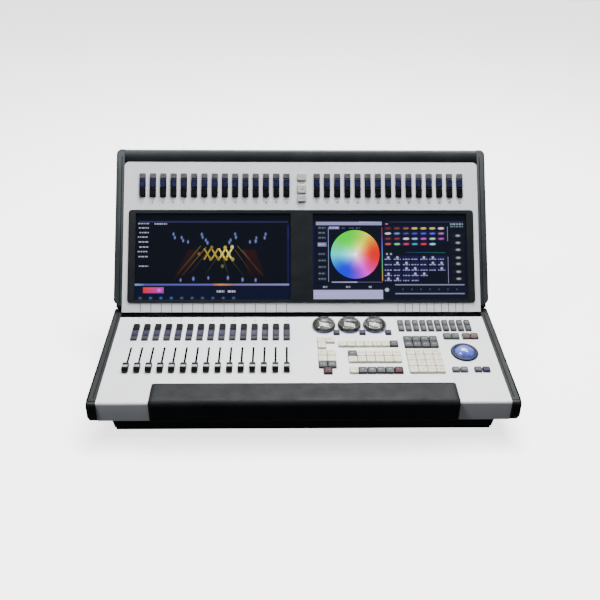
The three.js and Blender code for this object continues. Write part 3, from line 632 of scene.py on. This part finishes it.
clear = Finish("clear_acrylic", roughness=0.03, Transmission_Weight=1.0, IOR=1.49)
haze = clear.remap(clear.noise(20), *MIDDLE, 0, 1)
clear.colour(clear.mix(haze, (0.78, 0.79, 0.76), (0.9, 0.9, 0.88)))
silver = drifting("silvered_cone", "#5c5d57", "#2c2d29", 7, (0.3, 0.45), 0.5, 0.03, Metallic=0.4)
glow = Finish("wheel_light", roughness=0.4)
blue_haze = glow.remap(glow.noise(6), *MIDDLE, 0, 1)
glow.colour(glow.mix(blue_haze, srgb("#23265c"), srgb("#33387c")))
glow.shader.inputs["Emission Color"].default_value = (*srgb("#3a40b8"), 1)
glow.shader.inputs["Emission Strength"].default_value = 0.35

WHEEL_R = 25.4
skin = [[24.2, 0.8], [25.0, 0.9], [WHEEL_R, 1.4], *(dome(WHEEL_R, 12.8)[1:] + [0, 2.6])]
cone = [[0, 1.4], [22.5, 1.4], [23.2, 2.4], [20.5, 7.5], [12, 11.5], [4, 13.2], [0, 13.4]]
light_ring = [[22.8, 0.9], [25.3, 0.9], [25.3, 1.3], [22.8, 1.3]]
shaft = [[0, -8.8], [2.5, -8.8], [2.5, 1.5], [0, 1.5]]
for place, x in zip(("left", "middle", "right"), (46, 101, 156)):
    body = f"wheel_{place}"
    shell = turned(f"wheel_dome_{place}", skin, x, WHEEL_S, body, clear.material)
    turned(f"wheel_cone_{place}", cone, x, WHEEL_S, body, silver)
    turned(f"wheel_glow_{place}", light_ring, x, WHEEL_S, body, glow.material)
    turned(f"wheel_shaft_{place}", shaft, x, WHEEL_S, body, steel, 24)
    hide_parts(body)

BALL_X, BALL_S, BALL_R, BALL_H = 333.5, 134.0, 24.9, -12.0
angle = np.linspace(-np.pi / 2, np.pi / 2, 49)
sphere = np.stack([BALL_R * np.cos(angle), BALL_H + BALL_R * np.sin(angle)], -1)
sphere[[0, -1], 0] = 0
ball = Finish("polished_ball", roughness=0.12, Coat_Weight=0.6, Coat_Roughness=0.05)
cloud = ball.noise(16, 5.0)
ball.colour(ball.mix(ball.remap(cloud, 0.35, 0.65, 0, 1), srgb("#434fae"), srgb("#6470c8")))
ball.gloss(ball.noise(6, 4.0), 0.08, 0.2)
made = turned("trackball_sphere", sphere, BALL_X, BALL_S, "trackball", ball.material, 96, 0)
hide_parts("trackball")

ring = drifting("ring_moulding", "#0d1638", "#080f28", 14, (0.4, 0.5), 0.6, 0.01, **dull)
section = [
    [24.2, -3.5], [25.1, -3.5], [25.1, 0.5], [28.1, 0.5], [28.3, 0.9], [28.1, 2.1], [27.4, 3.0],
    [26.4, 3.6], [25.0, 4.0], [23.2, 4.15], [21.4, 4.05], [20.8, 3.8], [20.6, 3.3], [21.8, 1.4],
    [23.0, -0.6], [24.2, -3.5],
]
made = turned("trackball_ring_turned", section, BALL_X, BALL_S, "trackball_ring", ring, 96)
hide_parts("trackball_ring")
print("turned pieces done")

# %% [markdown]
# ## Armrest
# A long pad of skinned foam lies over the front edge for the wrists. Its cross-section follows
# the deck, rolls over the front bend and hangs down the apron, and is carried across the desk.
# Near both ends the section sinks, so the ends roll down instead of stopping square.

# %% Armrest
REST_HALF, REST_BACK = 297.5, 228.0
SWELL, END_ROLL, EDGE_ROLL = 6.3, 10.0, 9.0
PAD_GAP, DECK_BEND = 0.4, 6.0


def armrest_path():
    """Points and outward normals round the deck's front: along the deck, round the bend, down."""
    deck_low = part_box("deck_panel")[0]
    rest_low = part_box("armrest")[0]
    slope = np.arctan2(deck_up[2], deck_up[1])
    bend = DECK_BEND + PAD_GAP
    start = on_deck(0, REST_BACK, PAD_GAP)[1:] / MM
    centre_y = deck_low[1] / MM + DECK_BEND
    along = (centre_y - bend * np.sin(slope) - start[0]) / np.cos(slope)
    turn_from = np.pi / 2 + slope
    foot = rest_low[2] / MM
    flat = start + np.outer(np.linspace(0, along, 24), [np.cos(slope), np.sin(slope)])
    centre = flat[-1] - bend * np.array([np.cos(turn_from), np.sin(turn_from)])
    angle = np.linspace(turn_from, np.pi, 10)
    curve = centre + bend * np.stack([np.cos(angle), np.sin(angle)], -1)
    drop = np.stack([np.full(16, curve[-1, 0]), np.linspace(curve[-1, 1], foot, 16)], -1)
    path = np.concatenate([flat, curve[1:], drop[1:]])
    step = np.gradient(path, axis=0)
    step /= np.linalg.norm(step, axis=1, keepdims=True)
    return path, np.stack([step[:, 1], -step[:, 0]], -1)


def rolled(share):
    """How thick the pad still is at a share of the way in from an edge: a superellipse."""
    return 1 - (1 - np.clip(share, 0, 1)) ** 2.2


def armrest():
    """The path pushed out by the swell, which falls to nothing at every edge, and back along it."""
    path, out = armrest_path()
    reach = np.concatenate([[0], np.cumsum(np.linalg.norm(np.diff(path, axis=0), axis=1))])
    ends = np.minimum(reach, reach[-1] - reach)
    swell = SWELL * np.sqrt(rolled(ends / EDGE_ROLL))
    x = REST_HALF * np.sin(np.linspace(-np.pi / 2, np.pi / 2, 121))
    sink = np.sqrt(rolled((REST_HALF - np.abs(x)) / END_ROLL))
    thick = swell[None] * sink[:, None]
    outer = path[None] + out[None] * thick[..., None]
    inner = np.broadcast_to(path, outer.shape)
    section = np.concatenate([outer, inner[:, ::-1]], axis=1)
    across = np.broadcast_to(x[:, None, None], section.shape[:2] + (1,))
    points = np.concatenate([across, section], -1) * MM
    rows, around = points.shape[:2]
    return points, [grid_faces(rows, around, True)]


foam = Finish("armrest_skin", roughness=0.55, Specular_IOR_Level=0.15)
drift = foam.noise(60, 4.0)
foam.colour(foam.mix(foam.remap(drift, *MIDDLE, 0, 1), srgb("#121415"), srgb("#1a1d1f")))
foam.gloss(foam.noise(25, 4.0), 0.45, 0.62)
pebble = foam.add("ShaderNodeTexVoronoi", feature="DISTANCE_TO_EDGE", Scale=700.0)
foam.link(foam.place, pebble.inputs["Vector"])
foam.relief(foam.remap(pebble.outputs["Distance"], 0.0, 0.25, 0.0, 1.0), 0.08)
points, groups = armrest()
rest = piece("armrest_pad", points, groups, "root", foam.material, 50)
weld(rest)
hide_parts("armrest")
print("armrest", rest.dimensions)

# %% [markdown]
# ## Print on the panels
# The panels carry fine printing: a short line for each fader column on both sides of the hinge,
# a small number under each preset, and ten lines over the macro keys. Print is ink about a
# hundredth of a millimetre thick, so each mark is a flat rectangle just above the paint. The
# shade down each open fader slot is painted: a strip of black laid in the same way.

# %% Printed lines
ink = drifting("panel_ink", "#4c4f52", "#3b3e41", 30, (0.4, 0.5), 0.8, 0.005)
PRINT_LIFT = 0.06


def printed(name, place, x, a0, a1, width, body, material, lift=PRINT_LIFT):
    """Rectangles centred on x, running from a0 to a1 along the panel, one for each x."""
    x, a0, a1 = np.broadcast_arrays(np.ravel(x).astype(float), np.ravel(a0), np.ravel(a1))
    corner_x = x[:, None] + np.array([-0.5, 0.5, 0.5, -0.5]) * width
    corner_a = np.stack([a0, a0, a1, a1], -1)
    points = place(corner_x, corner_a, lift)
    faces = np.arange(4 * len(x)).reshape(-1, 4)
    flip = place is on_deck
    return piece(name, points, [faces[:, ::-1] if flip else faces], body, material, 0)


printed("deck_column_lines", on_deck, columns, 11.5, 17.5, 1.2, "root", ink)
printed("face_column_lines", on_face, columns, 5, 23, 1.5, "screen", ink)
printed("deck_macro_lines", on_deck, macros - 8.04, 11.5, 25, 0.9, "root", ink)
printed("face_macro_lines", on_face, macros, 5, 23, 1.5, "screen", ink)
# Painted shade: a black strip over each open slot. The same black paints the shade in the rear socket
# holes and screw recesses.
painted_hole_shade = drifting("slot_felt", "#060606", "#030303", 8, (0.85, 0.95), 0.3, 0.05, **soft)
printed("slot_seals", on_deck, columns, 114, 190.6, 4.4, "root", painted_hole_shade, 0.05)

# %% [markdown]
# Each moulded cheek has a narrow groove beside the sheet metal, and a dark joint runs under the
# top rail. The shade in each groove is painted as a thin strip of matt black, and the joint is
# laid as a strip of matt black too.

# %% Painted shade in the grooves beside the panels, and the rail joint
edges = np.array([-402.5, 402.5])
# painted shade: black strips where the grooves are
printed("screen_cheek_grooves", on_face, edges, 24, 356, 1.6, "screen", matt, 1.06)
printed("base_cheek_grooves", on_deck, edges, 2, 268, 1.6, "root", matt, 1.06)
printed("rail_joint", on_face, 0, 343.4, 345.2, 792, "screen", matt, 0.3)

# %% [markdown]
# Numbers come from a font as a flat curve, made a mesh before it is carried to the panel.


# %% Printed numbers
def numbers(name, place, labels, x, a, size, body, material):
    """Each label's flat mesh is moved to its x and a, then all are joined on the panel."""
    curve = bpy.data.curves.new(name, "FONT")
    curve.size = size
    curve.align_x = curve.align_y = "CENTER"
    curve.offset = 0.035 * size
    carrier = bpy.data.objects.new(name, curve)
    bpy.context.scene.collection.objects.link(carrier)
    flats, faces, start = [], [], 0
    for label, at_x, at_a in zip(labels, np.ravel(x), np.broadcast_to(a, np.size(x))):
        curve.body = label
        bpy.context.view_layer.update()
        flat = bpy.data.meshes.new_from_object(carrier)
        xy = np.empty(3 * len(flat.vertices))
        flat.vertices.foreach_get("co", xy)
        xy = xy.reshape(-1, 3)
        up = -xy[:, 1] if place is on_deck else xy[:, 1]
        flats.append(place(at_x + xy[:, 0], at_a + up, PRINT_LIFT))
        faces += [[start + v for v in polygon.vertices] for polygon in flat.polygons]
        start += len(xy)
        bpy.data.meshes.remove(flat)
    bpy.data.objects.remove(carrier)
    return piece(name, np.concatenate(flats), [faces], body, material, 0)


count = [str(i) for i in range(1, 31)]
numbers("preset_numbers_left", on_face, count[:15], columns, 250.5, 5.6, "screen", ink)
numbers("preset_numbers_right", on_face, count[15:], -columns[::-1], 250.5, 5.6, "screen", ink)
numbers("playback_numbers", on_deck, count[:15], columns, 24.5, 6.0, "root", ink)
numbers("fader_numbers", on_deck, count[:15], columns, 103, 4.6, "root", ink)
print("print done")

# %% [markdown]
# ## The back
# The back carries sockets for the lighting network and the mains. Each round socket has a steel
# rim and five holes, each network socket has eight gilt contacts, screws hold them all, and the
# rocker switch has a moulded line and ring. The holes and the screw recesses are flat black discs:
# painted shade. Positions are read facing the back, from the left.

# %% Rear details
rear_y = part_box("rear_panel")[1][1] / MM


def on_back(x, z, out):
    """Points x to the right as seen from behind, z up and out of the rear panel, in millimetres."""
    x, z, out = np.broadcast_arrays(x, z, out)
    return np.stack([-x, rear_y + out, z], axis=-1) * MM


def discs(name, x, z, radius, out, body, material, inner=0.0, steps=20):
    """Flat discs, or rings when inner is above zero, one at each x and z on the back."""
    x, z = np.broadcast_arrays(np.ravel(x).astype(float), np.ravel(z).astype(float))
    angle = np.linspace(0, 2 * np.pi, steps, endpoint=False)
    r = np.array([max(inner, 0.01), radius])[:, None]
    x, z = x[:, None, None], z[:, None, None]
    points = on_back(x + r * np.cos(angle), z + r * np.sin(angle), out)
    faces = repeated(grid_faces(2, steps, True)[:, ::-1], x.size, 2 * steps)
    return piece(name, points, [faces], body, material, 0)


round_x = -np.array([100.0, 135.0, 170.0, 205.0])
pole = np.radians([-130, -65, 0, 65, 130]) - np.pi / 2
SOCKET_Z, POLE_CIRCLE = 34, 5.2
discs("round_socket_rims", round_x, SOCKET_Z, 11.2, 1.06, "root", steel, 9.4)
hole_x = (round_x[:, None] + POLE_CIRCLE * np.cos(pole)).ravel()
hole_z = np.tile(SOCKET_Z - POLE_CIRCLE * np.sin(pole), 4)
# painted shade: a flat black disc for each socket hole
discs("round_socket_holes", hole_x, hole_z, 1.2, 1.1, "root", painted_hole_shade, 0, 10)
corner = np.array([[-11.5, 11.5], [11.5, -11.5]])
screw_x = np.concatenate([(round_x[:, None] + corner[:, 0]).ravel(), [262, 310, 22, -22]])
screw_z = np.concatenate([np.tile(SOCKET_Z + corner[:, 1], 4), [SOCKET_Z, SOCKET_Z, 47, 47]])
discs("rear_screws", screw_x, screw_z, 2.0, 0.12, "root", steel)
# painted shade: a flat black disc in each screw head's recess
discs("rear_screw_recesses", screw_x, screw_z, 0.9, 0.16, "root", painted_hole_shade, 0, 6)
gilt = drifting("gilt_contact", "#d9b25a", "#b8923e", 4, (0.2, 0.35), 0.2, 0.005, Metallic=1.0)
row_of_eight = 1.1 * (np.arange(8) - 3.5)
contact = np.concatenate([24 + row_of_eight, row_of_eight])
printed("network_contacts", on_back, contact, 36, 39.5, 0.55, "root", gilt, -4.0)
numbers("rear_numbers", on_back, ["1", "2", "3", "4"], round_x[::-1], 52, 5.0, "root", dish)
SWITCH_X, ROCKER_LEAN = 248, 1.6 / 7.6
mark_z = np.array([36.2, 36.2, 40.2, 40.2])
mark_out = (mark_z - SOCKET_Z) * ROCKER_LEAN - 0.12
points = on_back(SWITCH_X + np.array([-0.4, 0.4, 0.4, -0.4]), mark_z, mark_out)
piece("rocker_on_line", points, [np.array([[0, 1, 2, 3]])], "power_switch", white, 0)
discs("rocker_off_ring", SWITCH_X, 30.0, 1.9, -0.1, "power_switch", white, 1.3)
print("rear details done")

# %% [markdown]
# ## The pictures on the displays
# A lit display is drawn as flat shapes laid over each other, each with its own colour, all in
# one mesh whose colours are the light it gives off. Every later shape lies a
# thousandth of a millimetre above the one before, so nothing flickers. Positions are fractions
# of the lit area, x from the left and y from the top.


# %% A page of flat shapes
LIT_WIDE, LIT_HIGH, LIT_TOP = 344.2, 194.5, 225.5
DISPLAY_X = 197.0
ASPECT = np.array([16 / 9, 1.0])


class Page:
    """Flat lit shapes in fractions of one display."""

    def __init__(self, side):
        self.centre = side * DISPLAY_X
        self.points, self.faces, self.shades, self.count = [], [], [], 0

    def shape(self, xy, colour, faces=None):
        """A polygon, or a grid with its own faces, in one colour or one for each point."""
        xy = np.asarray(xy, float)
        step = len(self.faces)
        x = self.centre + (xy[:, 0] - 0.5) * LIT_WIDE
        u = LIT_TOP - xy[:, 1] * LIT_HIGH
        self.points.append(on_face(x, u, -0.15 + 0.0008 * step))
        colour = srgb(colour) if isinstance(colour, str) else np.asarray(colour)
        full = np.ones((len(xy), 4))
        full[:, :3] = colour
        self.shades.append(full)
        own = [np.arange(len(xy))] if faces is None else faces
        self.faces.append([(np.asarray(face) + self.count).tolist() for face in own])
        self.count += len(xy)

    def bar(self, x0, y0, x1, y1, colour):
        self.shape([[x0, y1], [x1, y1], [x1, y0], [x0, y0]], colour)

    def line(self, a, b, width, colour, end_colour=None):
        """A thin strip from a to b; width is a fraction of the display's height."""
        a, b = np.array(a, float), np.array(b, float)
        along = (b - a) * ASPECT
        side = np.array([-along[1], along[0]]) / np.linalg.norm(along) * width / 2 / ASPECT
        near, far = srgb(colour), srgb(end_colour or colour)
        corners = [a + side, b + side, b - side, a - side]
        self.shape(corners, np.stack([near, far, far, near]))

    def spot(self, x, y, half_wide, half_high, colour, edge=None):
        """A small soft blob: a fan of eight triangles, its colour fading towards the rim."""
        angle = np.arange(8) * np.pi / 4
        rim = np.stack([x + half_wide * np.cos(angle), y - half_high * np.sin(angle)], -1)
        tones = np.repeat([srgb(edge or colour) * (1.0 if edge else 0.35)], 9, axis=0)
        tones[0] = srgb(colour)
        fan = [[0, 1 + i, 1 + (i + 1) % 8] for i in range(8)]
        self.shape(np.concatenate([[[x, y]], rim]), tones, fan)

    def words(self, x0, x1, y, height, colour, seed=0):
        """A row of text too small to read: short dashes with gaps."""
        rng = np.random.default_rng(seed)
        x = x0
        while x < x1 - 0.004:
            length = min(rng.uniform(0.006, 0.02), x1 - x)
            self.bar(x, y - height / 2, x + length, y + height / 2, colour)
            x += length + 0.005

    def build(self, name, material):
        faces = [face for group in self.faces for face in group]
        points, shades = np.concatenate(self.points), np.concatenate(self.shades)
        return piece(name, points, [faces], "screen", material, 0, shades=shades)


lit = Finish("lit_display", roughness=0.14, Specular_IOR_Level=0.12)
lit.shader.inputs["Base Color"].default_value = (0.004, 0.005, 0.008, 1)
light = lit.add("ShaderNodeAttribute", attribute_name="shade").outputs["Color"]
lit.link(light, lit.shader.inputs["Emission Color"])
lit.shader.inputs["Emission Strength"].default_value = 1.25
lit.gloss(lit.noise(40, 4.0), 0.1, 0.18)

# %% Left display: a stage seen from above, with lamps and crossing beams
stage = Page(-1)
stage.bar(0, 0, 1, 1, "#04050c")
stage.bar(0, 0.82, 1, 1, "#080a24")
stage.bar(0, 0.0, 1, 0.085, "#030409")
stage.line((0.02, 0.097), (0.985, 0.097), 0.018, "#2c2a52", "#262448")
stage.bar(0.976, 0.13, 0.991, 0.8, "#100c44")
stage.bar(0.979, 0.16, 0.988, 0.3, "#1c1a58")
for row, y in enumerate((0.118, 0.168, 0.222, 0.274, 0.33, 0.389, 0.442, 0.5, 0.61)):
    stage.words(0.014 + 0.005 * (row % 3), 0.084, y, 0.014, "#a3a5bd", row)
stage.words(0.12, 0.2, 0.121, 0.016, "#a8a6c4", 11)

for x0, x1, x2, x3 in ((0.34, 0.4, 0.33, 0.24), (0.7, 0.77, 0.84, 0.72)):
    tones = np.stack([srgb(c) for c in ("#240b08", "#2a0c09", "#0c0404", "#0c0404")])
    stage.shape(np.array([[x0, 0.42], [x1, 0.42], [x2, 0.75], [x3, 0.75]])[::-1], tones[::-1])
long_beams = (
    ((0.42, 0.375), (0.27, 0.7), "#5a5220", "#2a240c"),
    ((0.455, 0.39), (0.3, 0.72), "#685a20", "#2c1f0c"),
    ((0.47, 0.43), (0.35, 0.7), "#4c2418", "#1c0c0a"),
    ((0.405, 0.44), (0.25, 0.76), "#402014", "#200c0a"),
    ((0.655, 0.375), (0.83, 0.73), "#5c4c20", "#24180c"),
    ((0.64, 0.42), (0.76, 0.72), "#4c3418", "#1c100a"),
    ((0.69, 0.42), (0.81, 0.72), "#5c2418", "#240e0a"),
    ((0.6, 0.5), (0.7, 0.73), "#343a18", "#12140a"),
    ((0.53, 0.5), (0.44, 0.73), "#2e3418", "#10120a"),
    ((0.56, 0.5), (0.6, 0.72), "#44421e", "#12140a"),
)
for a, b, tone, end in long_beams:
    stage.line(a, b, 0.011, tone, end)
for x, tone in zip((0.463, 0.511, 0.558, 0.6), ("#9c8628", "#b4982a", "#f2dc3c", "#fff35e")):
    for lean in (-0.022, 0.022):
        stage.line((x - lean, 0.405), (x + lean, 0.535), 0.017, tone, tone)
crossings = (
    (0.49, 0.395, "#8c7c2c"), (0.577, 0.396, "#e8c83c"), (0.622, 0.39, "#fff2a0"),
    (0.484, 0.525, "#a09040"), (0.535, 0.525, "#a08a38"), (0.583, 0.525, "#c0a838"),
    (0.626, 0.53, "#c8a83c"), (0.558, 0.47, "#fff46a"), (0.6, 0.468, "#fffa90"),
    (0.41, 0.47, "#8c5a34"), (0.56, 0.61, "#6c6c34"),
)
for x, y, tone in crossings:
    stage.spot(x, y, 0.012, 0.026, tone)
lamps = (
    (0.243, 0.24, 1), (0.252, 0.28, 1), (0.296, 0.28, 1), (0.306, 0.315, 1), (0.337, 0.33, 1),
    (0.426, 0.245, 1.1), (0.431, 0.275, 1), (0.452, 0.31, 1), (0.463, 0.34, 1.1), (0.612, 0.31, 1),
    (0.604, 0.335, 1.1), (0.641, 0.24, 1), (0.646, 0.275, 1.1), (0.737, 0.33, 1),
    (0.778, 0.285, 1), (0.774, 0.32, 1.2), (0.838, 0.24, 1), (0.832, 0.28, 1.1), (0.292, 0.77, 1),
    (0.374, 0.755, 1.2), (0.47, 0.745, 1), (0.596, 0.745, 1.2), (0.69, 0.765, 1.2),
    (0.774, 0.77, 1.1),
)
for x, y, size in lamps:
    stage.spot(x, y, 0.009 * size, 0.028 * size, "#7c88c4", "#0e1238")
for x0, x1, tone, end in ((0.0, 0.06, "#5fa8dc", "#3b62c4"), (0.06, 0.5, "#4a46a0", "#5450b4"),
                          (0.5, 0.56, "#b0603c", "#e0883a"), (0.56, 0.64, "#d87c34", "#8c5a74"),
                          (0.64, 0.99, "#6f68ac", "#7d78bc")):
    stage.line((x0, 0.822), (x1, 0.822), 0.022, tone, end)
heat = np.stack([srgb(c) for c in ("#d81408", "#e83410", "#d818a0", "#8c18d0")])
stage.shape([[0.053, 0.92], [0.185, 0.92], [0.185, 0.852], [0.053, 0.852]], heat[[0, 3, 2, 1]])
stage.spot(0.155, 0.885, 0.02, 0.028, "#f070f0", "#a818b0")
for x in (0.549, 0.62):
    stage.words(x - 0.024, x + 0.024, 0.9, 0.024, "#b9b8cc", int(x * 1000))
for index in range(10):
    stage.spot(0.035 + 0.0665 * index, 0.975, 0.013, 0.018, "#3c62a8" if index in (1, 2, 3) else "#4a5a72")
stage.build("left_picture", lit.material)

# %% Right display: a colour picker, swatches and a grid of choices
picker = Page(1)
picker.bar(0, 0, 1, 1, "#090a18")
picker.bar(0, 0, 1, 0.08, "#04050b")
picker.bar(0, 0.1, 0.01, 0.82, "#0f0c3a")
picker.bar(0.04, 0.83, 1, 1, "#0c0e20")
for row, y in enumerate((0.166, 0.224, 0.281, 0.36, 0.47, 0.545, 0.62, 0.695, 0.757)):
    picker.bar(0.03, y - 0.024, 0.088, y + 0.024, "#6f70a0" if row == 3 else "#171a26")
    picker.words(0.036, 0.082, y, 0.016, "#c9c8ec" if row == 3 else "#5c6878", 40 + row)
picker.bar(0.02, 0.095, 0.449, 0.135, "#8f8bc0")
picker.line((0.3, 0.1), (0.449, 0.1), 0.012, "#b9b0dc", "#8a9ac0")
picker.bar(0.098, 0.16, 0.102, 0.79, "#8584b4")
picker.bar(0.104, 0.148, 0.172, 0.182, "#6f6ca8")
picker.words(0.106, 0.17, 0.166, 0.014, "#c0bee8", 60)
for x in (0.202, 0.251, 0.293):
    picker.words(x - 0.014, x + 0.014, 0.168, 0.012, "#4c4e78", int(x * 999))
picker.line((0.12, 0.795), (0.285, 0.795), 0.014, "#8a86c0", "#a29edc")
picker.line((0.285, 0.795), (0.449, 0.795), 0.01, "#4a4878", "#57485e")
tones = ("#8c3034", "#6a3468", "#5450c0", "#5a6cc8", "#2f9a80", "#3fb062", "#8f9a40", "#e07c38")
for low, tone, end in zip(np.linspace(0.16, 0.69, 7), tones, tones[1:]):
    picker.line((0.449, low), (0.449, low + 0.09), 0.012, tone, end)


def colour_disc(page, x, y, radius, rings=12, steps=72):
    """Hue goes round the disc and whiteness goes towards its middle."""
    angle = np.linspace(0, 2 * np.pi, steps, endpoint=False)
    r = np.linspace(0, 1, rings)[1:]
    hue = (0.25 - angle / (2 * np.pi)) % 1
    rgb = np.clip(np.abs((hue[:, None] * 6 + np.array([0, 4, 2])) % 6 - 3) - 1, 0, 1)
    strength = np.clip(r * 1.4, 0, 1)[:, None, None]
    shade = 1 - strength ** 0.85 * (1 - rgb[None])
    reach = radius * r[:, None]
    xy = np.stack([x + reach * np.sin(angle), y - reach * ASPECT[0] * np.cos(angle)], -1)
    points = np.concatenate([[[x, y]], xy.reshape(-1, 2)])
    level = 1.5 - 0.6 * strength
    shades = np.concatenate([[[2, 2, 2]], (shade ** 2.6 * level).reshape(-1, 3)])
    turn = np.arange(steps)
    middle = np.stack([np.zeros(steps, int), 1 + (turn + 1) % steps, 1 + turn], 1)
    bands = grid_faces(rings - 1, steps, True) + 1
    page.shape(points, shades, [*middle, *bands])


colour_disc(picker, 0.274, 0.474, 0.1585)
for x in (0.077, 0.226, 0.373):
    picker.words(x - 0.014, x + 0.014, 0.85, 0.022, "#8c8ca8", int(x * 1000))
picker.bar(0.002, 0.884, 0.451, 0.99, "#aba6dc")
picker.line((0.002, 0.93), (0.451, 0.93), 0.012, "#b9b4ec", "#a6a2d6")
picker.spot(0.477, 0.884, 0.016, 0.026, "#e8eaf0", "#6c7488")
picker.line((0.5, 0.098), (0.98, 0.098), 0.01, "#2c2d4c", "#333554")
picker.words(0.472, 0.49, 0.12, 0.016, "#c05a78", 5)
swatch_x = np.array([0.488, 0.547, 0.606, 0.662, 0.72, 0.778, 0.835])
swatches = (
    (0.169, ("#6e2a1e", "#7c3a22", "#9c5c2c", "#f0cc4a", "#e0d036", "#cfe038", "#f4f0cc")),
    (0.229, ("#f2f4e4", "#6c8cc0", "#46468c", "#4648b0", "#5248cc", "#5c52dc", "#b468b8")),
    (0.29, ("#7a3036", "#94283a", "#ecffec", "#8ccef4", "#c448d0", "#a8ecb0", "#b848a8")),
    (0.352, ("#e84a36", "#70e888", "#e82858", "#28a8cc", "#e83038", "#94f4f4")),
)
for y, row_tones in swatches:
    for x, tone in zip(swatch_x, row_tones):
        picker.bar(x - 0.026, y - 0.026, x + 0.026, y + 0.026, "#151030")
        picker.spot(x, y + 0.003, 0.023, 0.015, tone)
        picker.line((x - 0.014, y + 0.006), (x + 0.015, y - 0.003), 0.012, tone, tone)
picker.line((0.6, 0.45), (0.86, 0.455), 0.01, "#1a1f5c", "#1c5a50")
for x in (0.48, 0.506):
    picker.spot(x, 0.47, 0.008, 0.014, "#b8b6d0")
for row, y in enumerate((0.517, 0.58, 0.643, 0.705, 0.763)):
    for column, x in enumerate(swatch_x[: (7, 7, 7, 5, 4)[row]]):
        picker.bar(x - 0.026, y - 0.026, x + 0.026, y + 0.026, "#17163a")
        if (row * 3 + column * 5) % 4 < 2:
            picker.spot(x, y - 0.006, 0.011, 0.02, "#dcdaf0", "#2c2a58")
        picker.words(x - 0.024, x + 0.022, y + 0.014, 0.013, "#8a86c4", int(x * 900) + row)
for y0, y1 in ((0.15, 0.32), (0.5, 0.81)):
    picker.bar(0.875, y0, 0.879, y1, "#7f7f9c")
picker.words(0.895, 0.98, 0.122, 0.02, "#7a8c98", 8)
picker.words(0.895, 0.98, 0.15, 0.018, "#5c6c78", 9)
for row, y in enumerate((0.257, 0.34, 0.421, 0.514, 0.585, 0.676, 0.757)):
    picker.bar(0.9, y - 0.03, 0.982, y + 0.03, "#12131c")
    picker.spot(0.944, y, 0.02, 0.018, "#b4b6b8", "#3c3e44")
for y in (0.826, 0.928):
    picker.line((0.53, y), (0.98, y), 0.014, "#80809c", "#7c7c98")
for x in np.linspace(0.58, 0.93, 7):
    picker.spot(x, 0.878, 0.006, 0.012, "#3c5c70")
picker.build("right_picture", lit.material)

glass = drifting("display_module", "#0a0c12", "#07080c", 50, (0.1, 0.16), 1.0, 0.002)
for name in ("left_display", "right_display"):
    dressed(name, "screen", glass)
print("pictures", len(stage.faces), len(picker.faces), "shapes")

# %% [markdown]
# ## Floor, light and camera
# The desk stands on a plain pale floor under soft studio light. A wide panel high over the back
# of the desk gives the tops their brightness and leaves upright faces dark. A panel behind gives
# the sloping deck its sheen, and three small lamps put sparks on the wheels. The camera stands
# in front of the operator's edge, a little above eye height for someone seated.

# %% Floor and lights
floor_finish = Finish("pale_floor", roughness=0.6)
floor_finish.shader.inputs["Emission Color"].default_value = (1, 1, 1, 1)
floor_finish.shader.inputs["Emission Strength"].default_value = 2.4
floor_finish.colour(floor_finish.mix(floor_finish.noise(400), (0.86, 0.86, 0.87), (0.9, 0.9, 0.9)))
floor_mesh = bpy.data.meshes.new("floor")
FLOOR_HALF = 6.0
corners = [(x * FLOOR_HALF, y * FLOOR_HALF, 0) for x, y in ((-1, -1), (1, -1), (1, 1), (-1, 1))]
floor_mesh.from_pydata(corners, [], [(0, 1, 2, 3)])
floor_mesh.materials.append(floor_finish.material)
floor = bpy.data.objects.new("floor", floor_mesh)
bpy.context.scene.collection.objects.link(floor)
floor.visible_diffuse = False  # so bright a floor would light the upright faces too much
floor.visible_glossy = False

world = bpy.data.worlds.new("surround")
bpy.context.scene.world = world
world.use_nodes = True
sky = world.node_tree.nodes["Background"].inputs
sky["Color"].default_value = (0.88, 0.93, 1, 1)
sky["Strength"].default_value = 0.1


def softbox(name, at, towards, size, power):
    lamp = bpy.data.lights.new(name, "AREA")
    lamp.shape, lamp.size, lamp.size_y, lamp.energy = "RECTANGLE", size[0], size[1], power
    thing = bpy.data.objects.new(name, lamp)
    thing.location = at
    thing.rotation_euler = (Vector(towards) - Vector(at)).to_track_quat("-Z", "Y").to_euler()
    bpy.context.scene.collection.objects.link(thing)


softbox("overhead", (0.3, 0.95, 3.0), (0, 0, 0.2), (2.2, 1.6), 240)
softbox("back_panel", (0.0, 2.8, 2.4), (0, 0, 0.2), (3.0, 1.2), 20)
for index, at in enumerate([(-1.1, -0.5, 2.0), (0.2, 1.0, 2.6), (1.2, -0.1, 2.2)]):
    softbox(f"spark_{index}", at, (0.1, 0, 0.15), (0.4, 0.4), 24)

# %% Camera
YAW, PITCH_DOWN, ROLL = np.radians([1.304, 29.734, 0.567])
ahead = np.array([np.sin(YAW), np.cos(YAW), 0.0])
forward = ahead * np.cos(PITCH_DOWN) - np.array([0.0, 0.0, np.sin(PITCH_DOWN)])
level = np.array([np.cos(YAW), -np.sin(YAW), 0.0])
upright = np.cross(level, forward)
right = np.cos(ROLL) * level + np.sin(ROLL) * upright
up = -np.sin(ROLL) * level + np.cos(ROLL) * upright
lens = bpy.data.cameras.new("camera")
lens.sensor_width, lens.lens = 36.0, 43.9
camera = bpy.data.objects.new("camera", lens)
stand = hinge_line + np.array([-36.4, -1387.8, 828.6]) * MM
turn = np.eye(4)
turn[:3, 0], turn[:3, 1], turn[:3, 2], turn[:3, 3] = right, up, -forward, stand
camera.matrix_world = Matrix(turn.tolist())
bpy.context.scene.collection.objects.link(camera)
bpy.context.scene.camera = camera

import json

bpy.context.view_layer.update()
